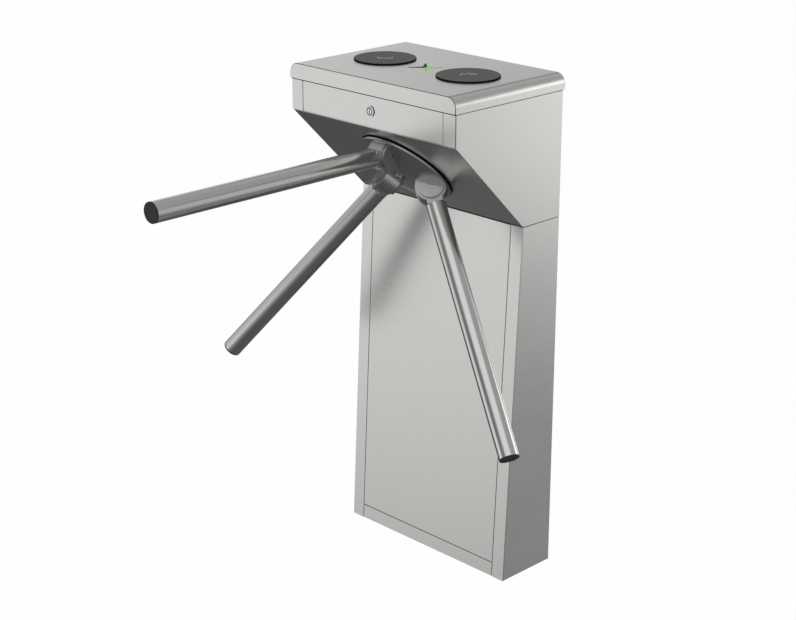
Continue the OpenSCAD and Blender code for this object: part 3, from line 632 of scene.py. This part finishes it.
def revolved(origin, axis, profile, turns, paint=0):
    """A turned piece: each point of the profile, a radius and a height, goes round the axis."""
    axis = unit(axis)
    near_x = 0.9
    first = unit(np.cross(axis, X_AXIS if abs(axis[0]) < near_x else Y_AXIS))
    second = np.cross(axis, first)
    angles = np.linspace(0, 2 * math.pi, turns, endpoint=False)
    circle = np.cos(angles)[:, None] * first + np.sin(angles)[:, None] * second
    profile = np.asarray(profile, float)
    points = origin + profile[:, :1, None] * circle[None] + profile[:, 1:, None] * axis
    shape = Shape()
    shape.add(points.reshape(-1, 3), [face[::-1] for face in ring_faces(len(profile), turns)], paint)
    return shape


def finish_mesh(piece, materials, smooth_angle):
    """Materials, and smooth shading between faces that meet at less than an angle."""
    for material in materials:
        piece.data.materials.append(material)
    piece.data.shade_smooth()
    piece.data.set_sharp_from_angle(angle=math.radians(smooth_angle))


def make_piece(name, shape, materials, body, replaced, weighted=True):
    """One object from a shape: doubles merged, materials given, and riding on its body."""
    mesh = bpy.data.meshes.new(name)
    mesh.from_pydata(np.concatenate(shape.points).tolist(), [], shape.faces)
    mesh.polygons.foreach_set("material_index", shape.paints)
    bm = bmesh.new()
    bm.from_mesh(mesh)
    bmesh.ops.remove_doubles(bm, verts=bm.verts, dist=MERGE)
    bmesh.ops.dissolve_degenerate(bm, edges=bm.edges, dist=MERGE / 10)
    bm.to_mesh(mesh)
    bm.free()
    piece = bpy.data.objects.new(name, mesh)
    bpy.context.scene.collection.objects.link(piece)
    finish_mesh(piece, materials, SMOOTH_ANGLE)
    if weighted:
        modifier = piece.modifiers.new("even_faces", "WEIGHTED_NORMAL")
        modifier.keep_sharp = True
    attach(piece, body)
    if replaced:
        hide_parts(*replaced)


def soften(node, body, materials, width, steps=2, edge_paint=None):
    """A merged copy of a node with its sharp edges rounded."""
    source = bmesh.new()
    source.from_mesh(frame["nodes"][node].data)
    bmesh.ops.remove_doubles(source, verts=source.verts, dist=COPY_MERGE)
    bmesh.ops.dissolve_limit(source, angle_limit=FLAT_ANGLE, verts=source.verts, edges=source.edges)
    mesh = bpy.data.meshes.new(node + "_piece")
    points = [vertex.co[:] for vertex in source.verts]
    faces = [[vertex.index for vertex in face.verts] for face in source.faces]
    source.free()
    mesh.from_pydata(points, [], faces)
    piece = bpy.data.objects.new(node + "_piece", mesh)
    bpy.context.scene.collection.objects.link(piece)
    finish_mesh(piece, materials, SHARP_ANGLE)
    bevel = piece.modifiers.new("round_edges", "BEVEL")
    bevel.width = width
    bevel.segments = steps
    bevel.limit_method = "ANGLE"
    bevel.angle_limit = math.radians(SHARP_ANGLE)
    bevel.use_clamp_overlap = True
    # The rounded edges may take their own material, used for a painted highlight along the rims.
    if edge_paint is not None:
        bevel.material = edge_paint
    modifier = piece.modifiers.new("even_faces", "WEIGHTED_NORMAL")
    modifier.keep_sharp = True
    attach(piece, body)
    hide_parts(node)


# Post

STRIP_EDGE = round_edge(EDGE, SHEET)
THIN_BACK = 0.5 * MM
THIN_EDGE = round_edge(EDGE / 2, THIN_BACK)
TRAY_EDGE = round_edge(0.8 * MM, SHEET, FOLD, steps=4)
slope_l = neck_z / math.cos(post_tilt)
foot = np.array([0, foot_y, 0])
lift = (FOLD + SHEET) * math.sin(post_tilt)
strip_in = panel_half + SEAM
kick_h = high("kick_strip")[2] / math.cos(post_tilt)
CORNER_SEAM = 1.5 * MM
FLOOR_GAP = 0.1 * MM
CRISP = 0.1 * MM
TRAY_CORNER = 1 * MM
side_start = THIN_BACK + CORNER_SEAM
SIDE_FINISHES = [sheet_side, sheet_upright, painted_shade_black]
UPRIGHT = 1
# Paint index of the black painted shade behind the seams
SHADE_PAINT = 2


def post_side():
    """The right side: an upright sheet, its front strip past a seam, and black strips behind the seams,
    painted shade that darkens the seam lines.
    """
    side = plate(X_AXIS * half_w, Y_AXIS, Z_AXIS,
                 [(foot_y + side_start, 0), (back_y, 0), (back_y, neck_z - SEAM / 2),
                  (neck_y + side_start, neck_z - SEAM / 2)], STRIP_EDGE)
    strip = plate(foot, X_AXIS, post_up, box_outline(strip_in, FLOOR_GAP, half_w, slope_l - SEAM / 2),
                  STRIP_EDGE, UPRIGHT)
    back = foot - post_out * (FOLD + SHEET)
    # Black sheets behind the seams are painted shade, not parts of the post.
    seam_shade_strip = plate(back, X_AXIS, post_up,
                   box_outline(strip_in - FOLD, lift, half_w - SHEET, slope_l - SEAM), STRIP_EDGE, SHADE_PAINT)
    corner = plate(foot - post_out * (SHEET + SEAM / 2), X_AXIS, post_up,
                   box_outline(half_w - FOLD, lift, half_w - EDGE, slope_l - SEAM), STRIP_EDGE, SHADE_PAINT)
    return side.joined(strip).joined(seam_shade_strip).joined(corner)


def make_post():
    """The post's sides, front panel, kick strip and back panel."""
    right = post_side()
    make_piece("post_right_sheets", right, SIDE_FINISHES, "cabinet", ["post_right_side"])
    make_piece("post_left_sheets", right.mirrored(), SIDE_FINISHES, "cabinet", ["post_left_side"])
    panel = plate(foot, X_AXIS, post_up,
                  box_outline(-panel_half, kick_h + SEAM, panel_half, slope_l - SEAM, TRAY_CORNER),
                  TRAY_EDGE)
    make_piece("post_front_tray", panel, [sheet_across], "cabinet", ["post_front_panel"])
    kick = plate(foot, X_AXIS, post_up, box_outline(-panel_half, lift, panel_half, kick_h, TRAY_CORNER),
                 TRAY_EDGE)
    make_piece("kick_tray", kick, [sheet_across], "cabinet", ["kick_strip"])
    back_low = low("back_panel")
    back_high = high("back_panel")
    back = plate(Y_AXIS * back_y, -X_AXIS, Z_AXIS,
                 box_outline(back_low[0], back_low[2], back_high[0], back_high[2]), STRIP_EDGE)
    make_piece("back_sheet", back, [sheet_upright], "cabinet", ["back_panel"])


# Head

HUB_TURNS = 120


def head_side():
    """The right side of the head: a sheet cut along the slant, its front strip past a seam, and black strips
    behind the seams, painted shade that darkens the seam lines."""
    slope = math.atan2(lip_z - neck_z, neck_y - head_y)
    side = plate(X_AXIS * half_w, Y_AXIS, Z_AXIS,
                 [(head_y + side_start, lip_z - side_start * math.tan(slope)), (neck_y, neck_z + SEAM / 2),
                  (back_y, neck_z + SEAM / 2), (back_y, head_top), (head_y + side_start, head_top)],
                 STRIP_EDGE)
    face = Y_AXIS * head_y
    strip = plate(face, X_AXIS, Z_AXIS, box_outline(strip_in, lip_z, half_w, head_top), THIN_EDGE,
                  UPRIGHT)
    seam_shade_strip = plate(face + Y_AXIS * (FOLD + SHEET), X_AXIS, Z_AXIS,
                   box_outline(strip_in - FOLD, lip_z + 2 * FOLD, half_w - SHEET, head_top),
                   STRIP_EDGE, SHADE_PAINT)
    # A black sheet in the corner seam, painted shade that darkens it.
    inset = 0.15 * MM
    corner = plate(face + Y_AXIS * THIN_BACK, X_AXIS, Z_AXIS,
                   box_outline(half_w - FOLD, lip_z, half_w - inset, head_top),
                   round_edge(CRISP, side_start), SHADE_PAINT)
    return side.joined(strip).joined(seam_shade_strip).joined(corner)


def make_head():
    """The head's sides, front panel, slanted panel, hub seal, and a black band under the lid's edge, painted
    shadow of the lid.
    """
    right = head_side()
    make_piece("head_right_sheets", right, SIDE_FINISHES, "cabinet", ["head_right_side"])
    make_piece("head_left_sheets", right.mirrored(), SIDE_FINISHES, "cabinet", ["head_left_side"])
    lock_low = low("lock_body")
    lock_high = high("lock_body")
    lock_z = (lock_low[2] + lock_high[2]) / 2
    lock_hole = 9.7 * MM
    panel = holed_plate(Y_AXIS * head_y, X_AXIS, Z_AXIS, (-panel_half, lip_z), (panel_half, head_top),
                        (0, lock_z), lock_hole, SHEET, EDGE, turns=48)
    for side in (-1, 1):
        fold = plate(np.array([side * (panel_half - SHEET / 2), head_y + EDGE, 0]), X_AXIS, Z_AXIS,
                     box_outline(-SHEET / 2, lip_z + FOLD, SHEET / 2, head_top - SHEET),
                     round_edge(EDGE / 3, FOLD - EDGE))
        panel.joined(fold)
    make_piece("head_front_sheet", panel, [sheet_across], "cabinet", ["head_front_panel"])
    half_wide = high("slant_panel")[0]
    half_long = (low("slant_panel")[1] - hub_centre[1]) / slant_up[1]
    seal_r = high("hub_seal")[0]
    seal_wide = 2.5 * MM
    hole = seal_r - seal_wide
    slant = holed_plate(hub_centre, X_AXIS, slant_up, (-half_wide, -half_long), (half_wide, half_long),
                        (0, 0), hole, SHEET, EDGE, turns=HUB_TURNS)
    make_piece("slant_sheet", slant, [sheet_slant], "cabinet", ["slant_panel"])
    # The hub seal's lip is a real part. It is given the near-black painted shade so that the gap round the
    # hub reads as shadow.
    seal_top = 2.4 * MM
    soft = 0.6 * MM
    inner = 0.4 * MM
    lip = revolved(hub_centre, hub_axis, [(hole, -SHEET), (seal_r - soft, 0), (seal_r, soft),
                                          (seal_r - soft, seal_top), (hole + inner, seal_top),
                                          (hole, soft), (hole, -SHEET)], HUB_TURNS)
    make_piece("seal_lip", lip, [painted_shade_black], "cabinet", ["hub_seal"])
    # Painted shadow: a black band just under the lid's skirt stands for the shade the lid casts on the head.
    proud = 0.15 * MM
    thick = 0.6 * MM
    tall = 4 * MM
    band = plate(Z_AXIS * (lid_low[2] + tall / 2), X_AXIS, Y_AXIS,
                 box_outline(-half_w - proud, head_y - proud, half_w + proud, back_y + proud),
                 np.array([[thick, 0], [0, 0], [0, tall], [thick, tall], [thick, 0]]), closed=False)
    make_piece("lid_rest_band", band, [painted_shade_black], "cabinet", ())


# Lid

LID_R = 20 * MM
LID_SEAM = 0.9 * MM
LID_EDGE = 0.3 * MM
END_EDGE = 0.4 * MM
SHADE_PLATE_INSET = 0.2 * MM
LID_STEPS = 12
DISC_TURNS = 128


def lid_outline(inset):
    """The lid's section across its width: two round upper corners, moved in by an inset."""
    wide = lid_high[0] - inset
    top = lid_high[2] - inset
    bottom = lid_low[2]
    radius = LID_R - inset
    return rounded([(-wide, bottom), (wide, bottom), (wide, top), (-wide, top)], [0, 0, radius, radius],
                   LID_STEPS)


def make_lid():
    """A bent sheet over two end plates, which stand a seam's width in from its outline, with a black plate
    behind each: painted shade in the seam."""
    outer = lid_outline(0)
    inner = lid_outline(SHEET)
    section = np.concatenate([outer[1:], outer[:1], inner[:1], inner[:0:-1]])
    length = lid_high[1] - lid_low[1] - 2 * LID_SEAM
    start = Y_AXIS * (lid_low[1] + LID_SEAM)
    shape = plate(start, X_AXIS, Z_AXIS, section, round_edge(LID_EDGE, length))
    end = lid_outline(LID_SEAM)
    dark = lid_outline(SHADE_PLATE_INSET)
    for y, across in ((lid_low[1], X_AXIS), (lid_high[1], -X_AXIS)):
        inward = np.sign(lid_mid_y - y) * Y_AXIS
        shape.joined(plate(Y_AXIS * y, across, Z_AXIS, end, round_edge(END_EDGE, SHEET)))
        # A black plate just inside each end plate: painted shade in its seam.
        shape.joined(plate(Y_AXIS * y + inward * END_EDGE, across, Z_AXIS, dark,
                           round_edge(CRISP, SHEET), paint=1))
    make_piece("lid_sheets", shape, [sheet_across, painted_shade_black], "lid", ["lid"])


def reader_disc(name, node):
    """A low turned disc: a wall in near-black painted shade, a round upper edge, and a flat top in rings."""
    lowest = low(node)
    highest = high(node)
    middle = np.array([(lowest[0] + highest[0]) / 2, (lowest[1] + highest[1]) / 2, lowest[2]])
    radius = (highest[0] - lowest[0]) / 2
    tall = highest[2] - lowest[2]
    rim = 1.1 * MM
    turn = np.linspace(0, math.pi / 2, 6)
    edge = np.stack([radius - rim + rim * np.cos(turn), tall - rim + rim * np.sin(turn)], axis=1)
    dome_rings = 7
    top = np.linspace(1, 0, dome_rings + 1)[1:]
    dome = np.stack([(radius - rim) * top, np.full(dome_rings, tall)], axis=1)
    wall = np.concatenate([[[0, 0], [radius, 0]], edge[:4]])
    face = np.concatenate([edge[3:], dome])
    # The wall gets the near-black painted shade, standing for the shadow round the disc's foot.
    shape = revolved(middle, Z_AXIS, wall, DISC_TURNS, paint=1)
    shape.joined(revolved(middle, Z_AXIS, face, DISC_TURNS))
    make_piece(name, shape, [gloss_black, painted_shade_black], "lid", [node])
    return middle + Z_AXIS * tall


def arc_mark(middle, radius, width, start, end, steps=16):
    """A flat bent bar: a band between two radii over an angle, a little above the disc."""
    mark_lift = 0.12 * MM
    mark_edge = 0.05 * MM
    mark_t = 0.15 * MM
    angles = np.radians(np.linspace(start, end, steps))
    outer = np.stack([np.cos(angles), np.sin(angles)], axis=1) * (radius + width / 2)
    inner = np.stack([np.cos(angles), np.sin(angles)], axis=1)[::-1] * (radius - width / 2)
    return plate(middle + Z_AXIS * mark_lift, X_AXIS, Y_AXIS, np.concatenate([outer, inner]),
                 round_edge(mark_edge, mark_t, steps=1))


def reader_marks(name, middle, facing):
    """Dashes of three arcs one inside another, about a facing angle: a plain mark for a card's place.
    Each dash is a radius in millimetres, a start and a sweep in degrees."""
    shape = Shape()
    wide = 1.5 * MM
    dashes = [(7.5, -84, 34), (7.5, 50, 34), (9, -26, 52), (14, -100, 26), (14, -60, 20), (14, 40, 20),
              (14, 74, 26)]
    for radius, start, sweep in dashes:
        shape.joined(arc_mark(middle, radius * MM, wide, facing + start, facing + start + sweep))
    make_piece(name, shape, [mark_ink], "lid", (), weighted=False)


def arrow_light(name, node, side, finish):
    """One half of the arrow light: a short root with two pointed strokes."""
    box_low = low(node)
    box_high = high(node)
    width = box_high[0] - box_low[0]
    reach = (box_high[1] - box_low[1]) / 2
    tip = 2 * MM
    near = min(abs(box_low[0]), abs(box_high[0]))
    root = 5 * MM
    inside = 8 * MM
    lens_edge = 0.3 * MM
    lens_t = 2.5 * MM
    far = near + width
    outline = np.array([(inside, 0), (far, reach - tip), (far - tip, reach), (near, root),
                        (near, -root), (far - tip, -reach), (far, -reach + tip)])
    origin = np.array([0, lid_mid_y, box_high[2]])
    if side < 0:
        outline = (outline * [-1, 1])[::-1]
    shape = plate(origin, X_AXIS, Y_AXIS, outline, round_edge(lens_edge, lens_t))
    make_piece(name, shape, [finish], "lid", [node])


def make_lid_fittings():
    """Readers with their marks, and the arrow light."""
    left = reader_disc("left_reader_disc", "left_reader")
    right = reader_disc("right_reader_disc", "right_reader")
    reader_marks("left_reader_marks", left, -45)
    reader_marks("right_reader_marks", right, 135)
    arrow_light("left_arrow_light", "left_arrow_lens", -1, lamp_dark)
    arrow_light("right_arrow_light", "right_arrow_lens", 1, lamp_green)


# Hub and arms

TUBE_WALL = 1.5 * MM
TUBE_TURNS = 72
CAP_TURNS = 64


def arm_tube(name, node, way, body):
    """A tube along an arm: outer wall, rounded rims, and inner wall."""
    start = apex + way * (pin_reach + tube_start)
    length = tube_end - tube_start
    rim = 0.4 * MM
    inner = tube_r - TUBE_WALL
    profile = [(inner, 0), (tube_r - rim, 0), (tube_r, rim), (tube_r, length - rim),
               (tube_r - rim, length), (inner, length), (inner, 0)]
    shape = revolved(start, way, profile, TUBE_TURNS)
    make_piece(name, shape, [tube_steel(name + "_steel", way)], body, [node])


def arm_cap(name, node, way, body):
    """A pushed-in end cap: a plug, a round-edged face, and a shallow round dip in its middle."""
    thick = arm_end - tube_end
    base = apex + way * (pin_reach + tube_end)
    rim = 1.4 * MM
    turn = np.linspace(math.pi / 2, 0, 6)
    edge = np.stack([tube_r - rim + rim * np.sin(turn), thick - rim + rim * np.cos(turn)], axis=1)
    dip_share = 0.62
    dip = tube_r * dip_share
    dip_slope = 1 * MM
    dip_floor = thick - 0.6 * MM
    plug_l = 12 * MM
    play = 0.1 * MM
    plug = tube_r - TUBE_WALL - play
    profile = np.concatenate([[[0, -plug_l], [plug, -plug_l], [plug, 0], [tube_r, 0]], edge,
                              [[dip + dip_slope, thick], [dip, dip_floor], [0, dip_floor]]])
    shape = revolved(base, way, profile, CAP_TURNS)
    make_piece(name, shape, [plastic], body, [node])


def make_hub_and_arms():
    """Hub, its screw, knuckles, tubes and caps."""
    cast_edge = 1.2 * MM
    screw_edge = 0.8 * MM
    # The hub and knuckles get a lighter finish on their rounded edges: painted highlight.
    cast = [hub_skin, hub_edge_highlight]
    soften("hub", "rotor", cast, cast_edge, steps=3, edge_paint=1)
    soften("hub_screw", "rotor", [hub_skin], screw_edge)
    for side, body in (("top", "drop_arm"), ("left", "rotor"), ("right", "rotor")):
        way = arm_ways[side]
        soften(side + "_knuckle", body, cast, cast_edge, steps=3, edge_paint=1)
        arm_tube(side + "_tube", side + "_arm", way, body)
        arm_cap(side + "_end_cap", side + "_arm_cap", way, body)


# Lock, hinges and inner pieces


def make_hardware():
    """Rounded copies of the small fittings, and finishes for the inner pieces, which keep their shapes."""
    small_edge = 0.4 * MM
    lock_z = (low("lock_body")[2] + high("lock_body")[2]) / 2
    lock_metal_and_shade = lock_front("lock_front", (0, lock_z), low("lock_body")[1])
    for node, body, finish, slot in (
            ("lock_body", "cabinet", lock_metal_and_shade, "lock_zinc"),
            ("lock_barrel", "lock_plug", lock_metal_and_shade, "lock_zinc"),
            ("lock_cam", "lock_plug", zinc, "hardware"),
            ("hinge_leaves", "cabinet", zinc, "hardware"),
            ("lid_hinge_leaves", "lid", zinc, "hardware"),
            ("lid_catch", "lid", zinc, "hardware"),
            ("cable_grommet", "cabinet", rubber, "rubber"),
            ("lid_buffers", "cabinet", rubber, "rubber")):
        soften(node, body, [finish], small_edge)
    kept = {
        primer: ["base_plate", "uprights", "bearing_housing", "right_pawl", "left_pawl"],
        zinc: ["mechanism_plate", "mechanism_brackets", "housing_screws", "pawl_posts", "shaft_nut",
               "arm_pins"],
        turned_steel: ["bearings", "main_shaft", "main_gear", "lock_wheel", "damper_pinion",
                       "right_plunger", "left_plunger"],
        plastic: ["solenoids", "damper_body", "position_sensor", "sensor_disc"],
        rubber: ["wiring_loom"],
        board: ["control_board", "lid_boards"],
        case_metal: ["power_supply"],
    }
    for finish, nodes in kept.items():
        for node in nodes:
            data = frame["nodes"][node].data
            data.materials.clear()
            data.materials.append(finish)


# Studio


def stage_piece(name, mesh, material):
    """Something of the studio, which isn't part of the object."""
    mesh.materials.append(material)
    piece = bpy.data.objects.new(name, mesh)
    bpy.context.scene.collection.objects.link(piece)
    return piece


def level_square(name, half):
    """A level square about the middle of the floor."""
    mesh = bpy.data.meshes.new(name)
    corners = [(-half, -half, 0), (half, -half, 0), (half, half, 0), (-half, half, 0)]
    mesh.from_pydata(corners, [], [(0, 1, 2, 3)])
    return mesh


def shown_rays(tree):
    """One for rays that show the background: from the camera, a gloss or a glass."""
    path = tree.node("LightPath", None, None, "Is Camera Ray")
    outputs = path.socket.node.outputs
    gloss = Wire(tree, outputs["Is Glossy Ray"])
    glass = Wire(tree, outputs["Is Transmission Ray"])
    return path.largest(gloss).largest(glass)


def floor_material():
    """Pale floor: mostly white by itself where it is seen, and still holding the object's shadow."""
    material, tree = new_material("studio_floor")
    cloud = tree.noise(tree.place(), 2, 2)
    colour = tree.blend(cloud, (0.82, 0.82, 0.82), (0.86, 0.86, 0.86))
    diffuse = tree.node("BsdfDiffuse", None, {"Color": colour})
    glow = tree.node("Emission", None, {"Color": (1, 1, 1), "Strength": 1.0})
    glow_share = 0.97
    mixed = tree.node("MixShader", None, [shown_rays(tree) * glow_share, diffuse, glow])
    tree.node("OutputMaterial", None, {"Surface": mixed})
    return material


def glow_material(name, level_of):
    """A surface that shines by a level worked out from its own place."""
    material, tree = new_material(name)
    x, y, z = tree.split(tree.node("TexCoord", None, None, "Object"))
    glow = tree.node("Emission", None, {"Color": level_of(tree, x, y, z), "Strength": 1.0})
    tree.node("OutputMaterial", None, {"Surface": glow})
    material.cycles.emission_sampling = "NONE"
    return material


def by_height(tree, rise, stops):
    """A level read from stops at height angles in degrees, where rise is the sine of the height angle. A
    ramp holds levels up to one, so it is given half of each."""
    places = [((math.sin(math.radians(angle)) + 1) / 2, level / 2) for angle, level in stops]
    return ramp(tree, (rise + 1) / 2, places) * 2


def sector(tree, way, flat, middle, inner, outer):
    """One near a compass angle, and zero far from it."""
    angle = math.radians(middle)
    near = (way[0] * math.cos(angle) + way[1] * math.sin(angle)) / flat
    return smooth_step(tree, near, math.cos(math.radians(outer)), math.cos(math.radians(inner)))


def tent_level(tree, x, y, z):
    """The tent: dark below, grey above, pale bands low on the front left and on the back right, and round
    pale boxes and dark flags. Each of those is a compass angle, a height angle, the angles from its middle
    where it starts to fade and where it has gone, and a level."""
    not_zero = 0.001
    size = (x * x + y * y + z * z) ** 0.5
    way = (x / size, y / size, z / size)
    flat = (way[0] * way[0] + way[1] * way[1] + not_zero) ** 0.5
    above = [(14, 0.62), (32, 0.48), (90, 0.45)]
    plain = by_height(tree, way[2], [(-90, 0.12), (-40, 0.125), (-27, 0.19), (-18, 0.36), (-9, 0.53),
                                     (0, 0.58), *above])
    side = by_height(tree, way[2], [(-90, 0.12), (-54, 0.22), (-40, 0.35), (-32, 0.40), (-26, 0.39),
                                    (-22, 0.34), (-19, 0.30), (-16.5, 0.36), (-14, 0.88), (-11.5, 1.62),
                                    (-8, 1.62), (-3, 1.0), (4, 0.62), *above])
    front = by_height(tree, way[2], [(-90, 0.11), (-45, 0.14), (-34, 0.31), (-27, 0.67), (-22, 0.91),
                                     (-17.5, 0.93), (-13, 1.09), (-3, 1.10), (5, 0.80), *above])
    to_side = sector(tree, way, flat, 80, 22, 45)
    to_front = sector(tree, way, flat, -137, 12, 30)
    level = plain * (1 - to_side) + side * to_side
    level = level * (1 - to_front) + front * to_front
    patches = [
        (104, 43, 9, 20, 0.58),
        (60, 11, 8, 17, 2.9),
        (162, -44, 28, 56, 0.100),
        (138, 12, 12, 26, 0.84),
        (127, 31, 4, 13, 0.22),
        (-60, 52, 18, 34, 1.05),
        (-115, 22, 10, 22, 0.22),
        (42, 26, 4, 12, 0.34),
    ]
    for compass, height, inner, outer, target in patches:
        centre = turned(turned(X_AXIS, -Y_AXIS, height), Z_AXIS, compass)
        near = way[0] * centre[0] + way[1] * centre[1] + way[2] * centre[2]
        patch = smooth_step(tree, near, math.cos(math.radians(outer)), math.cos(math.radians(inner)))
        level = level * (1 - patch) + target * patch
    return level


def tent_mesh(radius, rows=25, columns=36):
    """A whole sphere's grid: rows by height angle, columns round."""
    up = np.linspace(-math.pi / 2, math.pi / 2, rows)[:, None]
    turn = np.linspace(0, 2 * math.pi, columns, endpoint=False)[None, :]
    points = np.stack([np.cos(up) * np.cos(turn), np.cos(up) * np.sin(turn),
                       np.sin(up) * np.ones_like(turn)], axis=-1) * radius
    mesh = bpy.data.meshes.new("tent")
    mesh.from_pydata(points.reshape(-1, 3).tolist(), [], ring_faces(rows, columns))
    return mesh


def area_lamp(name, place, target, size, power):
    """A square soft lamp that looks at a point."""
    data = bpy.data.lights.new(name, "AREA")
    data.shape = "SQUARE"
    data.size = size
    data.energy = power
    lamp_object = bpy.data.objects.new(name, data)
    lamp_object.location = place
    lamp_object.rotation_euler = (Vector(target) - Vector(place)).to_track_quat("-Z", "Y").to_euler()
    lamp_object.visible_glossy = False
    bpy.context.scene.collection.objects.link(lamp_object)


def make_studio():
    """Floor, a tent that only the metal mirrors, soft lamps and a pale world."""
    scene = bpy.context.scene
    floor_half = 12
    tent_r = 11
    world_level = 0.62
    floor = stage_piece("floor", level_square("floor", floor_half), floor_material())
    floor.visible_glossy = False
    tent = stage_piece("mirror_tent", tent_mesh(tent_r), glow_material("tent_grey", tent_level))
    tent.visible_camera = False
    tent.visible_shadow = False
    tent.visible_diffuse = False
    tent.visible_transmission = False
    world = bpy.data.worlds.new("studio")
    scene.world = world
    tree = Tree(world)
    shown = world_level + shown_rays(tree) * (1 - world_level)
    sky = tree.node("Background", None, {"Color": (1, 1, 1), "Strength": shown})
    tree.node("OutputWorld", None, {"Surface": sky})
    middle = (0, 0, 0.6)
    area_lamp("lamp_front_left", (-2.0, -3.2, 3.2), middle, 2.0, 60)
    area_lamp("lamp_right", (3.4, -0.6, 2.4), middle, 1.6, 25)
    scene.view_settings.view_transform = "Standard"


make_post()
make_head()
make_lid()
make_lid_fittings()
make_hub_and_arms()
make_hardware()
make_studio()
